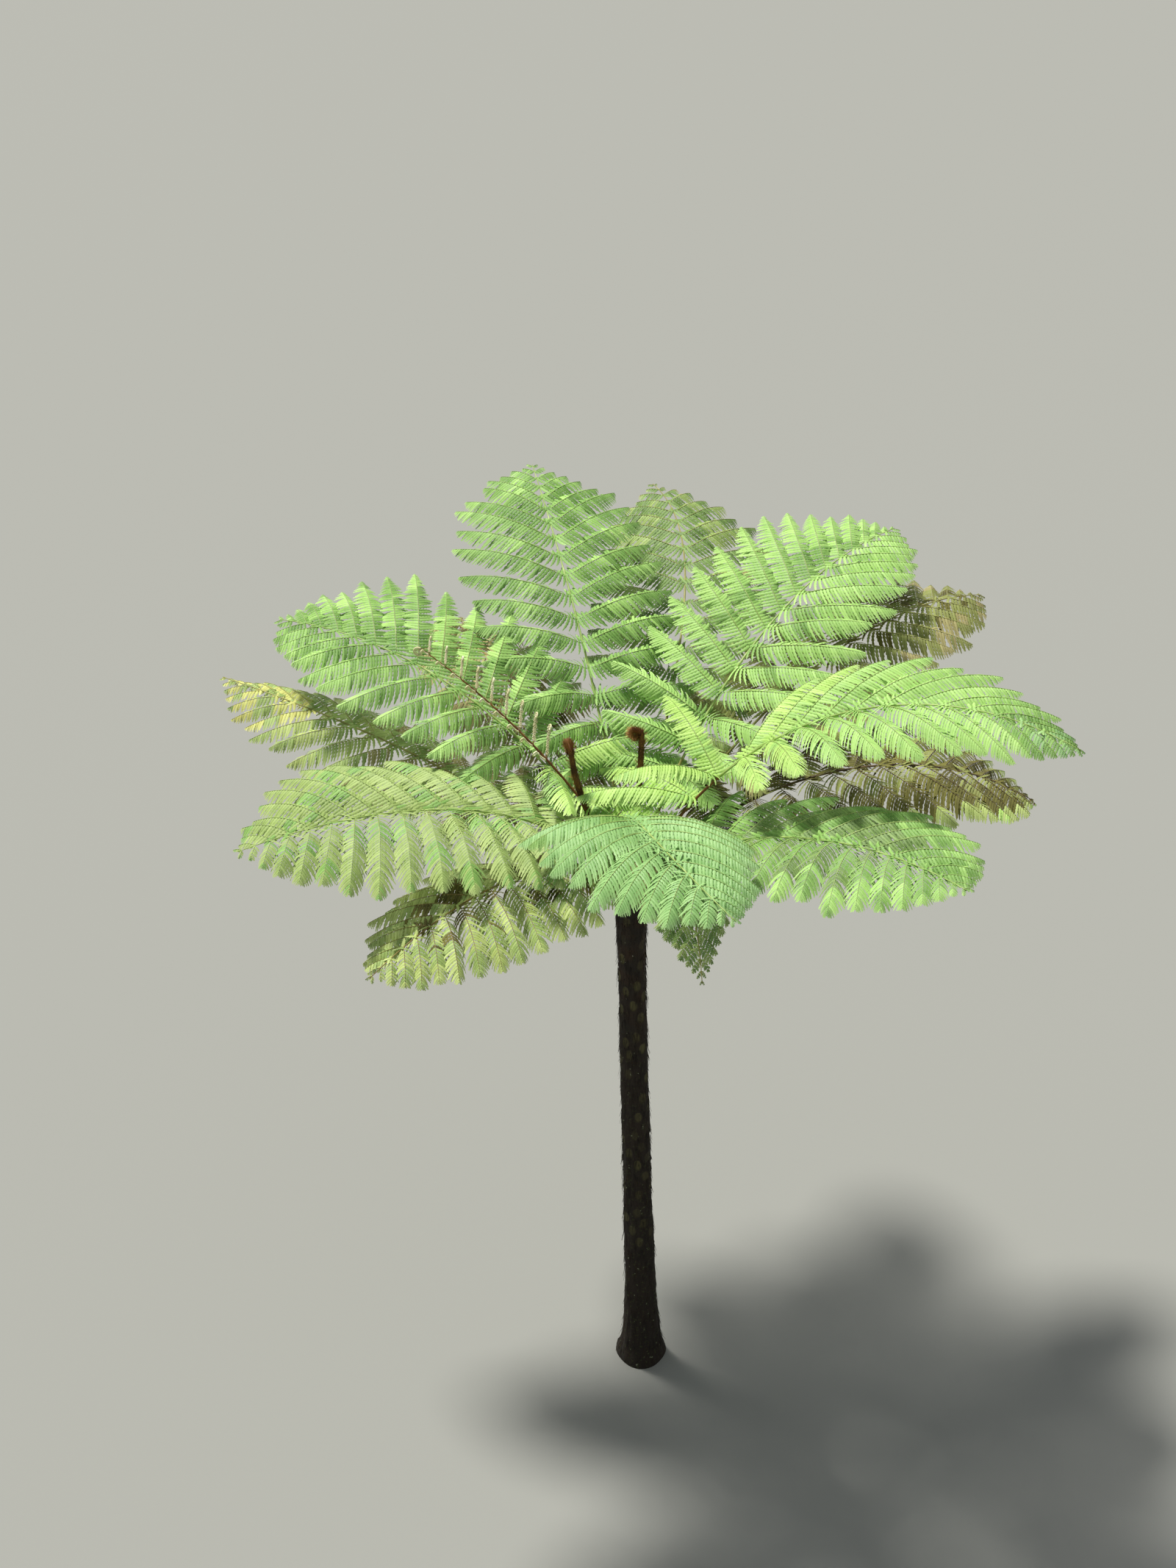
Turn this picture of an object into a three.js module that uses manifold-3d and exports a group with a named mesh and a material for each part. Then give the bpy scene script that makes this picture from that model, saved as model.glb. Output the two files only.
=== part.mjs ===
// Tree fern, rooted in the ground: a slender trunk with a slight lean, a funnel of grown fronds on top,
// older drooping fronds below them, one frond that is still unrolling, and two curled tips in the middle.
// Millimetres, +Z up. The origin is the middle of the flat cut under the trunk, at ground level.
// -Y is the side that is looked at from the front, and +X is to its right.
import * as THREE from 'three';
import { mergeVertices } from 'three/addons/utils/BufferGeometryUtils.js';
import Module from 'manifold-3d';

const wasm = await Module();
wasm.setup();

const UP = new THREE.Vector3(0, 0, 1);
const CLEARANCE = 0.3; // between two nodes that meet

// Trunk
const HUB_HEIGHT = 3500; // where the stalks of the grown fronds leave the trunk
const LEAN = -90; // how far the hub stands to the left of the foot
const TRUNK_SIDES = 14;
const LUMPS = 3; // waves round the trunk, from its mantle of roots
const LUMP_DEPTH = 0.06;
// each ring of the trunk: its height above the ground and its radius
const TRUNK_RINGS = [
  { height: 0, radius: 150 },
  { height: 130, radius: 118 },
  { height: 420, radius: 94 },
  { height: 1100, radius: 82 },
  { height: 2000, radius: 77 },
  { height: 2900, radius: 76 },
  { height: HUB_HEIGHT - 240, radius: 86 },
  { height: HUB_HEIGHT - 60, radius: 96 },
  { height: HUB_HEIGHT + 40, radius: 78 },
  { height: HUB_HEIGHT + 85, radius: 40 },
];
const APEX_HEIGHT = HUB_HEIGHT + 100;

// Fronds. azimuth and bend: heading of the midrib, in degrees from +X towards +Y, and how far it swings by
// the tip. rise and fall: the midrib's slope at the foot and at the tip. power: how early it arches over.
// length: foot to tip. reach: the longest leaflet. roll: turn of the blade about its midrib.
// lift and droop: how a leaflet leaves the midrib and how much it then hangs. drop: foot below the hub.
// bare: share of the midrib below the first leaflets. angle: between midrib and leaflet, at the foot of the
// blade. first: length of the lowest leaflets, beside the longest. fold: how far these are turned up.
const FRONDS = [
  { name: 'back', azimuth: 107, bend: -8, rise: 57, fall: 0, power: 1.2, length: 2750,
    reach: 640, roll: -5, lift: 20, droop: 0.78, drop: 0, bare: 0.2, angle: 84, first: 0.62, fold: 15 },
  { name: 'back_right', azimuth: 48, bend: 0, rise: 61, fall: -8, power: 1.15, length: 2700,
    reach: 630, roll: -6, lift: 22, droop: 0.6, drop: 0, bare: 0.18, angle: 80, first: 0.7, fold: 15 },
  { name: 'right', azimuth: -18, bend: -10, rise: 64, fall: -20, power: 1.4, length: 2950,
    reach: 680, roll: -4, lift: 24, droop: 0.9, drop: 0, bare: 0.11, angle: 60, first: 0.85, fold: 52 },
  { name: 'front_right', azimuth: -47, bend: -4, rise: 43, fall: 2, power: 1.25, length: 2600,
    reach: 650, roll: 0, lift: 20, droop: 0.92, drop: 0, bare: 0.15, angle: 84, first: 0.8, fold: 15 },
  { name: 'front', azimuth: -94, bend: 40, rise: 59, fall: -9, power: 1.2, length: 2800,
    reach: 600, roll: 0, lift: 14, droop: 1, drop: 0, bare: 0.15, angle: 78, first: 0.4, fold: -14 },
  { name: 'front_left', azimuth: 217, bend: -10, rise: 53, fall: -7, power: 1, length: 2600,
    reach: 640, roll: 6, lift: 18, droop: 0.95, drop: 0, bare: 0.15, angle: 90, first: 0.62, fold: 15 },
  { name: 'left', azimuth: 155, bend: -4, rise: 57, fall: -10, power: 1.15, length: 2500,
    reach: 630, roll: 9, lift: 26, droop: 0.65, drop: 0, bare: 0.12, angle: 84, first: 0.85, fold: 44 },
  { name: 'old_back', azimuth: 73, bend: 38, rise: 50, fall: -6, power: 1.1, length: 3000,
    reach: 580, roll: 0, lift: 14, droop: 0.8, drop: 100, bare: 0.2, angle: 84, first: 0.62, fold: 15 },
  { name: 'old_back_right', azimuth: 37, bend: 4, rise: 51, fall: -20, power: 1.3, length: 2900,
    reach: 540, roll: -4, lift: 14, droop: 0.6, drop: 100, bare: 0.2, angle: 84, first: 0.62, fold: 15 },
  { name: 'old_right', azimuth: 6, bend: 2, rise: 52, fall: -38, power: 1.15, length: 2450,
    reach: 600, roll: 0, lift: 12, droop: 0.55, drop: 100, bare: 0.18, angle: 84, first: 0.62, fold: 15 },
  { name: 'old_front_right', azimuth: -74, bend: -12, rise: 60, fall: -44, power: 1.4, length: 1900,
    reach: 280, roll: 0, lift: 5, droop: 1, drop: 100, bare: 0.18, angle: 80, first: 0.55, fold: 15 },
  { name: 'old_front_left', azimuth: -124, bend: -10, rise: 46, fall: -20, power: 1.2, length: 2300,
    reach: 520, roll: 0, lift: 5, droop: 0.9, drop: 100, bare: 0.18, angle: 84, first: 0.6, fold: 15 },
  { name: 'old_left', azimuth: 168, bend: -20, rise: 39, fall: 0, power: 1.1, length: 2550,
    reach: 520, roll: 4, lift: 8, droop: 0.8, drop: 100, bare: 0.18, angle: 62, first: 0.62, fold: 15 },
  { name: 'old_back_left', azimuth: 124, bend: -12, rise: 42, fall: -10, power: 1.15, length: 2300,
    reach: 480, roll: 0, lift: 8, droop: 0.8, drop: 100, bare: 0.18, angle: 84, first: 0.62, fold: 15 },
];
const MIDRIB_STEPS = 40;
const FOOT_RADIUS = 50; // a midrib's foot is this far from the trunk's axis, less the frond's inset
const STALK_SIDES = 6;
const STALK_RINGS = 5;
const STALK_FOOT = 21; // radius of a stalk where it leaves the trunk
const STALK_RADIUS = 8; // radius of a midrib at its first leaflets
const MIDRIB_TIP = 2;
const MIDRIB_TAPER = 0.8;
const MIDRIB_SIDES = 4; // left, top, right and bottom
const MIDRIB_ROOM = 2; // the leaflets of other fronds keep this far from a midrib
const YOUNG_MIDRIB_RINGS = 10;

// Leaflets: pairs along both sides of the blade, each a thin blade with a raised rib and a pointed tip
const PAIRS = 17;
const CROWDING = 1.3; // over 1, the pairs stand closer together towards the tip
const LAST_SHARE = 0.08;
const WIDEST_AT = 0.4; // share of the blade where the leaflets reach their full length
const TAPER_FROM = 0.56; // and where they begin to shorten again
const TAPER_POWER = 1.6;
const ANGLE_LOSS = 38; // degrees by which a leaflet leans more towards the frond's tip at the end of the blade
const FOLD_KEPT = 0.16; // share of the blade up to which its fold is full
const FOLD_ENDS = 0.24;
const FOLD_OPENS = 0.9; // how much a folded leaflet also leans back
const LEVELLING = 1.5; // how far the face of a leaflet turns up to the sky, beside that of the blade
const SWEEP = 0.2; // how much a leaflet bends towards the frond's tip
const LEAFLET_STEPS = 8;
const LEAFLET_HALF_WIDTH = 78;
const LEAFLET_FILL = 0.94; // the most that a leaflet takes of the room between its neighbours
const LEAFLET_SLENDER = 0.28; // the most that its half width is of its length
const LEAFLET_ROOT = 8; // half the width at which a leaflet leaves the midrib
const WIDEST_SHARE = 0.16; // a leaflet is widest at this share of its length
const NARROWER_AT = 0.64; // and this share of the rest further on it is narrower
const NARROWER = 0.88;
const LEAFLET_RIB = 0.22; // height of the rib, beside the half width
const RIB_LEAST = 6;
const LENGTH_SPREAD = 0.06; // how much leaflets differ by chance
const LIFT_SPREAD = 4;
// a leaflet that would touch another one is lifted or lowered by these degrees, then shortened, then
// left out
const LIFTS_TRIED = [0, 5, -5, 10, -10, 16, -16];
const REACHES_TRIED = [1, 0.85, 0.7];

// Frond that is still unrolling: a midrib with short side stems, each ending in a coil
const YOUNG = { name: 'young', azimuth: 167, bend: -2, rise: 58, fall: 33, power: 1.15, length: 1650,
  drop: -50, bare: 0.2, inset: 30 };
const YOUNG_PAIRS = 9;
const YOUNG_BARE = 0.42; // share of its midrib below the first coils
const COIL_SHRINK = 0.55; // how much smaller the last coil is than the first
const COIL_FORWARD = 0.35; // a coil's stem leans this much towards the frond's tip
const COIL_UPWARD = 0.45;
const COIL_STEM = 160;
const COIL_STEM_RADIUS = 5;
const COIL_RADIUS = 24;
const COIL_THICKNESS = 12;
const COIL_SIDES = 6;

// Curled tips: new fronds that stand up in the middle of the crown, rolled up at the top. leave and arrive:
// the stalk's slope at its foot and under the rolled head. turn: the side to which the head rolls.
const CURLED_TIPS = [
  { name: 'left', azimuth: 190, leave: 57, arrive: 86, length: 860, turn: 1 },
  { name: 'back', azimuth: 70, leave: 74, arrive: 88, length: 780, turn: -1 },
];
const CURL_STALK_FOOT = 20;
const CURL_STALK_TOP = 15;
const CURL_RADIUS = 50; // outer radius of the rolled head
const CURL_TURNS = 1.35;
// how far the spiral closes in on its centre and thins, so that its turns lie clear of each other
const CURL_TIGHTENING = 0.9;
const CURL_THINNING = 0.7;
const CURL_STEPS = 14;
const CURL_STALK_STEPS = 6;
const CURL_SIDES = 6;

const CRUMB = 0.1; // edges shorter than this, left where bodies were joined or cut, are closed up

const radians = THREE.MathUtils.degToRad;

function level(heading) {
  return new THREE.Vector3(Math.cos(heading), Math.sin(heading), 0);
}

function finish(name, color, roughness) {
  return new THREE.MeshStandardMaterial({ name, color, roughness, metalness: 0 });
}

const BARK = finish('bark', '#3b3128', 0.95);
const STALK = finish('stalk', '#7d6a3c', 0.7);
const SCALY = finish('scaly_stalk', '#6b3a22', 0.85);
const LEAF = finish('leaf', '#86b85c', 0.75);
const OLD_LEAF = finish('old_leaf', '#8c9254', 0.8);
const YOUNG_LEAF = finish('young_leaf', '#b9a974', 0.8);

// A number between -1 and 1 that depends only on its two keys
function chance(first, second) {
  const wave = Math.sin(first * 12.9898 + second * 78.233) * 43758.5453;
  return 2 * (wave - Math.floor(wave)) - 1;
}

// Triangles between two rings, each turning anticlockwise when seen from ahead
function band(low, high) {
  return low.flatMap((corner, side) => {
    const next = (side + 1) % low.length;
    return [[corner, low[next], high[next]], [corner, high[next], high[side]]];
  });
}

function cap(ring) {
  return ring.slice(2).map((corner, side) => [ring[0], ring[side + 1], corner]);
}

function cone(ring, point) {
  return ring.map((corner, side) => [corner, ring[(side + 1) % ring.length], point]);
}

// Closed body through rings of points, flat at its start, and at its end flat or drawn to a point
function loft(rings, point) {
  const last = rings[rings.length - 1];
  return [
    ...cap([...rings[0]].reverse()),
    ...rings.slice(1).flatMap((ring, index) => band(rings[index], ring)),
    ...(point ? cone(last, point) : cap(last)),
  ];
}

function solid(triangles) {
  const geometry = new THREE.BufferGeometry();
  const positions = triangles.flat().flatMap((corner) => corner.toArray());
  geometry.setAttribute('position', new THREE.Float32BufferAttribute(positions, 3));
  const merged = mergeVertices(geometry, 1e-4);
  return new wasm.Manifold(new wasm.Mesh({
    numProp: 3,
    vertProperties: new Float32Array(merged.getAttribute('position').array),
    triVerts: new Uint32Array(merged.getIndex().array),
  }));
}

function geometryOf(body) {
  const mesh = body.getMesh();
  const geometry = new THREE.BufferGeometry();
  geometry.setAttribute('position', new THREE.BufferAttribute(new Float32Array(mesh.vertProperties), 3));
  geometry.setIndex(new THREE.BufferAttribute(new Uint32Array(mesh.triVerts), 1));
  geometry.computeVertexNormals();
  return geometry;
}

function ringAround(centre, direction, radius, sides, start) {
  const across = new THREE.Vector3().crossVectors(UP, direction);
  if (across.length() < 1e-3) {
    across.set(1, 0, 0);
  }
  across.normalize();
  const over = new THREE.Vector3().crossVectors(direction, across);
  return Array.from({ length: sides }, (_, side) => {
    const angle = start + (2 * Math.PI * side) / sides;
    return centre.clone()
      .addScaledVector(across, radius * Math.cos(angle))
      .addScaledVector(over, radius * Math.sin(angle));
  });
}

// The trunk's axis at a height: the lean grows evenly from the foot to the hub
function trunkAxis(height) {
  return new THREE.Vector3((LEAN * height) / HUB_HEIGHT, 0, height);
}

function trunk(extra) {
  const corner = (height, radius, row, side) => {
    const angle = (2 * Math.PI * side) / TRUNK_SIDES;
    const lump = 1 + LUMP_DEPTH * Math.sin(LUMPS * angle + row);
    return trunkAxis(height).addScaledVector(level(angle), radius * lump + extra);
  };
  const rings = TRUNK_RINGS.map(({ height, radius }, row) =>
    Array.from({ length: TRUNK_SIDES }, (_, side) => corner(height, radius, row, side)));
  return loft(rings, trunkAxis(APEX_HEIGHT + extra));
}

// Points of a frond's midrib from its foot to its tip
function midrib(frond) {
  const point = trunkAxis(HUB_HEIGHT - frond.drop)
    .addScaledVector(level(radians(frond.azimuth)), FOOT_RADIUS - (frond.inset ?? 0));
  const points = [point.clone()];
  for (let step = 0; step < MIDRIB_STEPS; step += 1) {
    const share = (step + 0.5) / MIDRIB_STEPS;
    const slope = radians(frond.rise + (frond.fall - frond.rise) * share ** frond.power);
    const turn = radians(frond.azimuth + frond.bend * share ** 2);
    const direction = level(turn).multiplyScalar(Math.cos(slope)).addScaledVector(UP, Math.sin(slope));
    point.addScaledVector(direction, frond.length / MIDRIB_STEPS);
    points.push(point.clone());
  }
  return points;
}

function along(points, share) {
  const place = THREE.MathUtils.clamp(share, 0, 1) * (points.length - 1);
  const step = Math.min(Math.floor(place), points.length - 2);
  const direction = new THREE.Vector3().subVectors(points[step + 1], points[step]);
  return {
    point: points[step].clone().addScaledVector(direction, place - step),
    direction: direction.clone().normalize(),
  };
}

function midribRadius({ bare }, share) {
  if (share < bare) {
    return STALK_RADIUS + (STALK_FOOT - STALK_RADIUS) * (1 - share / bare) ** 2;
  }
  const left = Math.max(0, 1 - share) / (1 - bare);
  return MIDRIB_TIP + (STALK_RADIUS - MIDRIB_TIP) * left ** MIDRIB_TAPER;
}

function tube(frond, points, from, to, rings, sides, extra) {
  return loft(Array.from({ length: rings }, (_, ring) => {
    const share = from + ((to - from) * ring) / (rings - 1);
    const { point, direction } = along(points, share);
    return ringAround(point, direction, midribRadius(frond, share) + extra, sides, Math.PI / 4);
  }));
}

// Length of a leaflet beside the longest one, by its place on the blade
function leafletShare({ first }, place) {
  const grown = Math.sin((Math.PI / 2) * Math.min(1, place / WIDEST_AT));
  const taper = (Math.max(0, place - TAPER_FROM) / (1 - TAPER_FROM)) ** TAPER_POWER;
  return Math.max(LAST_SHARE, (first + (1 - first) * grown) * (1 - taper));
}

// Share of the blade at which a pair of leaflets leaves the midrib
function pairPlace(number) {
  return 1 - (1 - (number + 0.5) / PAIRS) ** CROWDING;
}

// The midrib's frame at a share of its length, turned by the frond's roll
function midribFrame(frond, points, share) {
  const { point, direction } = along(points, share);
  const across = new THREE.Vector3().crossVectors(direction, UP).normalize();
  const upright = new THREE.Vector3().crossVectors(across, direction);
  const roll = radians(frond.roll);
  return {
    point,
    direction,
    right: across.clone().multiplyScalar(Math.cos(roll)).addScaledVector(upright, Math.sin(roll)),
    over: upright.clone().multiplyScalar(Math.cos(roll)).addScaledVector(across, -Math.sin(roll)),
  };
}

// Left, top, right and bottom corner of the midrib
function midribRing(frond, points, share) {
  const { point, right, over } = midribFrame(frond, points, share);
  const radius = midribRadius(frond, share);
  return [[right, -1], [over, 1], [right, 1], [over, -1]]
    .map(([axis, sign]) => point.clone().addScaledVector(axis, sign * radius));
}

// Points of one leaflet's rib, with its half width and where it is widest. side is 1 on the right and -1 on
// the left.
function leafletRib(frond, points, number, side, extraLift) {
  const seed = FRONDS.indexOf(frond) + 1;
  const key = 2 * number + (side > 0 ? 1 : 0);
  const place = pairPlace(number);
  const midribShare = frond.bare + (1 - frond.bare) * place;
  const { point, direction, right, over } = midribFrame(frond, points, midribShare);
  const levelled = over.clone().addScaledVector(UP, LEVELLING).normalize();
  const fold = frond.fold * THREE.MathUtils.clamp((FOLD_ENDS - place) / (FOLD_ENDS - FOLD_KEPT), 0, 1);
  const angle = radians(frond.angle - ANGLE_LOSS * place + FOLD_OPENS * fold);
  const lift = radians(frond.lift + fold + LIFT_SPREAD * chance(seed, key) + extraLift);
  const start = direction.clone().multiplyScalar(Math.cos(angle))
    .addScaledVector(right, side * Math.sin(angle) * Math.cos(lift))
    .addScaledVector(over, Math.sin(angle) * Math.sin(lift));
  const length = frond.reach * leafletShare(frond, place) * (1 + LENGTH_SPREAD * chance(key, seed));
  const rib = [point];
  for (let step = 0; step < LEAFLET_STEPS; step += 1) {
    const done = (step + 0.5) / LEAFLET_STEPS;
    const heading = start.clone().addScaledVector(UP, -frond.droop * done)
      .addScaledVector(direction, SWEEP * done).normalize();
    rib.push(rib[step].clone().addScaledVector(heading, length / LEAFLET_STEPS));
  }
  const spacing = frond.length * (1 - frond.bare) * (pairPlace(number + 0.5) - pairPlace(number - 0.5));
  const room = (spacing * Math.sin(angle)) / levelled.dot(over);
  const halfWidth = Math.min(LEAFLET_HALF_WIDTH, (LEAFLET_FILL / 2) * room, LEAFLET_SLENDER * length);
  const clearOfMidrib = Math.abs(halfWidth * Math.cos(angle)) + 2 * midribRadius(frond, midribShare);
  const widest = Math.max(WIDEST_SHARE, clearOfMidrib / Math.sin(angle) / length);
  return { rib, levelled, halfWidth, widest };
}

// The rings of a leaflet beyond its root, and its tip: in each ring the two edges, then the raised rib
function leafletRings({ rib, levelled, halfWidth, widest }, reach) {
  const further = widest + (1 - widest) * NARROWER_AT;
  const rings = [[widest, halfWidth], [further, halfWidth * NARROWER]].map(([share, half]) => {
    const { point, direction } = along(rib, share * reach);
    const across = new THREE.Vector3().crossVectors(levelled, direction).normalize();
    const upward = new THREE.Vector3().crossVectors(direction, across);
    const height = Math.max(RIB_LEAST, LEAFLET_RIB * half);
    return [
      point.clone().addScaledVector(across, -half).addScaledVector(upward, -height / 2),
      point.clone().addScaledVector(across, half).addScaledVector(upward, -height / 2),
      point.clone().addScaledVector(upward, height / 2),
    ];
  });
  return { rings, tip: along(rib, reach).point };
}

// Bodies that are already in place, with the box round each, so that new ones keep clear of them
const placed = [];

function keep(owner, body) {
  placed.push({ owner, body, box: body.boundingBox() });
}

function boxesMeet(first, second) {
  return [0, 1, 2].every((axis) => first.min[axis] < second.max[axis] && second.min[axis] < first.max[axis]);
}

function isClear(owner, body) {
  const box = body.boundingBox();
  return placed.every((other) => other.owner === owner || !boxesMeet(box, other.box)
    || body.intersect(other.body).isEmpty());
}

// The stretch of midrib that carries a pair of leaflets: a ring before it, one behind it, and on each side
// the three corners from which a leaflet grows
function pairJoint(frond, points, number) {
  const share = frond.bare + (1 - frond.bare) * pairPlace(number);
  const half = LEAFLET_ROOT / frond.length;
  const low = midribRing(frond, points, share - half);
  const high = midribRing(frond, points, share + half);
  const { point, right, over } = midribFrame(frond, points, share);
  const radius = midribRadius(frond, share);
  const [leftRib, rightRib] = [-1, 1].map((side) => point.clone()
    .addScaledVector(right, (side * radius) / 2).addScaledVector(over, radius / 2));
  return { low, high, roots: { '-1': [high[0], low[0], leftRib], 1: [low[2], high[2], rightRib] } };
}

function jointFaces({ low, high, roots }) {
  const [left, top, right] = [0, 1, 2];
  const [leftRib, rightRib] = [roots[-1][2], roots[1][2]];
  const under = band([low[2], low[3], low[0]], [high[2], high[3], high[0]]).slice(0, 4);
  return [
    [leftRib, low[left], low[top]], [leftRib, low[top], high[top]], [leftRib, high[top], high[left]],
    [rightRib, high[right], high[top]], [rightRib, high[top], low[top]], [rightRib, low[top], low[right]],
    ...under,
  ];
}

function clearLeaflet(owner, frond, points, number, side, root) {
  for (const reach of REACHES_TRIED) {
    for (const extraLift of LIFTS_TRIED) {
      const { rings, tip } = leafletRings(leafletRib(frond, points, number, side, extraLift), reach);
      const body = solid(loft([root, ...rings], tip));
      if (isClear(owner, body)) {
        keep(`leaflet of ${owner}`, body);
        return [...band(root, rings[0]), ...band(rings[0], rings[1]), ...cone(rings[1], tip)];
      }
    }
  }
  return null;
}

// A midrib with its leaflets, as one closed body
function blade(owner, frond, points) {
  const triangles = [];
  let ring = midribRing(frond, points, frond.bare);
  triangles.push(...cap([...ring].reverse()));
  for (let number = 0; number < PAIRS; number += 1) {
    const joint = pairJoint(frond, points, number);
    triangles.push(...band(ring, joint.low), ...jointFaces(joint));
    for (const side of [1, -1]) {
      const root = joint.roots[side];
      triangles.push(...(clearLeaflet(owner, frond, points, number, side, root) ?? cap(root)));
    }
    ring = joint.high;
  }
  const { point, direction } = along(points, 1);
  triangles.push(...cone(ring, point.addScaledVector(direction, LAST_SHARE * frond.reach)));
  return solid(triangles);
}

// The bare stalk under a blade, cut clear of the trunk
function stalk(frond, points, trunkCut) {
  const end = frond.bare - (2 * CLEARANCE) / frond.length;
  return solid(tube(frond, points, 0, end, STALK_RINGS, STALK_SIDES, 0)).subtract(trunkCut);
}

// A short stem with a coil at its end, for a leaflet that hasn't opened yet
function coil(points, number, side) {
  const place = YOUNG_BARE + ((1 - YOUNG_BARE) * (number + 0.5)) / YOUNG_PAIRS;
  const { point, direction } = along(points, place);
  const across = new THREE.Vector3().crossVectors(direction, UP).normalize().multiplyScalar(side);
  const shrink = 1 - COIL_SHRINK * (number / YOUNG_PAIRS);
  const heading = across.clone().addScaledVector(direction, COIL_FORWARD).addScaledVector(UP, COIL_UPWARD)
    .normalize();
  const centre = point.clone().addScaledVector(heading, COIL_STEM * shrink);
  const stem = solid(loft([
    ringAround(point, heading, COIL_STEM_RADIUS, 3, 0),
    ringAround(centre, heading, COIL_STEM_RADIUS, 3, 0),
  ]));
  const half = (COIL_THICKNESS / 2) * shrink;
  const disc = solid(loft([-half, half].map((offset) => ringAround(
    centre.clone().addScaledVector(direction, offset), direction, COIL_RADIUS * shrink, COIL_SIDES, 0))));
  return stem.add(disc);
}

function youngFrond(points) {
  let body = solid(tube(YOUNG, points, YOUNG.bare, 1, YOUNG_MIDRIB_RINGS, MIDRIB_SIDES, 0));
  for (let number = 0; number < YOUNG_PAIRS; number += 1) {
    for (const side of [1, -1]) {
      const next = coil(points, number, side);
      if (isClear(`frond_${YOUNG.name}`, next)) {
        body = body.add(next);
      }
    }
  }
  return body;
}

// A new frond: a scaly stalk whose upper end rolls up into a spiral
function curledTip({ azimuth, leave, arrive, length, turn }, trunkCut) {
  const out = level(radians(azimuth));
  const sideways = new THREE.Vector3().crossVectors(out, UP).multiplyScalar(turn);
  const point = trunkAxis(HUB_HEIGHT).addScaledVector(out, FOOT_RADIUS / 2);
  const rising = new THREE.Vector3();
  const rings = [];
  for (let step = 0; step < CURL_STALK_STEPS; step += 1) {
    const share = step / CURL_STALK_STEPS;
    const slope = radians(leave + (arrive - leave) * share);
    rising.copy(out).multiplyScalar(Math.cos(slope)).addScaledVector(UP, Math.sin(slope));
    const radius = CURL_STALK_FOOT + (CURL_STALK_TOP - CURL_STALK_FOOT) * share;
    rings.push(ringAround(point, rising, radius, CURL_SIDES, turn > 0 ? 0 : Math.PI));
    point.addScaledVector(rising, length / CURL_STALK_STEPS);
  }
  const spread = CURL_RADIUS - CURL_STALK_TOP;
  const centre = point.clone().addScaledVector(sideways, spread);
  for (let step = 0; step <= CURL_STEPS; step += 1) {
    const share = step / CURL_STEPS;
    const angle = 2 * Math.PI * CURL_TURNS * share;
    const away = spread * (1 - CURL_TIGHTENING * share);
    const radial = sideways.clone().multiplyScalar(-Math.cos(angle)).addScaledVector(rising, Math.sin(angle));
    const radius = CURL_STALK_TOP * (1 - CURL_THINNING * share);
    const normal = new THREE.Vector3().crossVectors(sideways, rising);
    rings.push(Array.from({ length: CURL_SIDES }, (_, side) => {
      const round = (2 * Math.PI * side) / CURL_SIDES;
      return centre.clone().addScaledVector(radial, away + radius * Math.cos(round))
        .addScaledVector(normal, radius * Math.sin(round));
    }));
  }
  return solid(loft(rings)).subtract(trunkCut);
}

const fern = new THREE.Group();

function addNode(name, body, material) {
  const mesh = new THREE.Mesh(geometryOf(body.simplify(CRUMB)), material);
  mesh.name = name;
  fern.add(mesh);
}

const trunkBody = solid(trunk(0));
const trunkCut = solid(trunk(CLEARANCE));
keep('trunk', trunkBody);
addNode('trunk', trunkBody, BARK);

for (const tip of CURLED_TIPS) {
  const body = curledTip(tip, trunkCut);
  keep(`curled_tip_${tip.name}`, body);
  addNode(`curled_tip_${tip.name}`, body, SCALY);
}

const routes = new Map([...FRONDS, YOUNG].map((frond) => [frond, midrib(frond)]));
for (const [frond, points] of routes) {
  const body = stalk(frond, points, trunkCut);
  keep(`stalk_${frond.name}`, body);
  addNode(`stalk_${frond.name}`, body, frond === YOUNG ? SCALY : STALK);
}

const youngBody = youngFrond(routes.get(YOUNG));
keep(`frond_${YOUNG.name}`, youngBody);
addNode(`frond_${YOUNG.name}`, youngBody, YOUNG_LEAF);

for (const frond of FRONDS) {
  const core = tube(frond, routes.get(frond), frond.bare, 1, MIDRIB_STEPS, MIDRIB_SIDES, MIDRIB_ROOM);
  keep(`frond_${frond.name}`, solid(core));
}
for (const frond of FRONDS) {
  const owner = `frond_${frond.name}`;
  addNode(owner, blade(owner, frond, routes.get(frond)), frond.name.startsWith('old') ? OLD_LEAF : LEAF);
}

export default fern;
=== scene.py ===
# %% [markdown]
# # A tree fern
# The real plant is a slender trunk under a wide funnel of feathery fronds. It could be sculpted by hand, but
# a fern is a rule repeated at three sizes: a frond carries leaflets, a leaflet carries small lobed leaves.
# So most of this lesson writes that rule down once and lets it grow every frond.

# %% Load the solids as the frame
import math

import bpy
import numpy as np
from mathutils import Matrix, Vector, noise


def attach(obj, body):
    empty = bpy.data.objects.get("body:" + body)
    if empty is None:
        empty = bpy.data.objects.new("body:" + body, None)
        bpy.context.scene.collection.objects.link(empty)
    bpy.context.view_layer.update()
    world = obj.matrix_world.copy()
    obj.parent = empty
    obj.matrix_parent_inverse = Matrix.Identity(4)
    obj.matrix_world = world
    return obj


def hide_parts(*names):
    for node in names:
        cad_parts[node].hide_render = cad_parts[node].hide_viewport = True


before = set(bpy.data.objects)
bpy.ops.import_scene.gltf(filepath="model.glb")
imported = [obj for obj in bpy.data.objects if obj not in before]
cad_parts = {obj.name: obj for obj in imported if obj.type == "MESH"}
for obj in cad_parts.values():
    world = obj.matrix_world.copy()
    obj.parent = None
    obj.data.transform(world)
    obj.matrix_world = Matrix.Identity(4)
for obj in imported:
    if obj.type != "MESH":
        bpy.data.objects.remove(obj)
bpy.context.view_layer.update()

bpy.ops.object.select_all(action="DESELECT")

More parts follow.
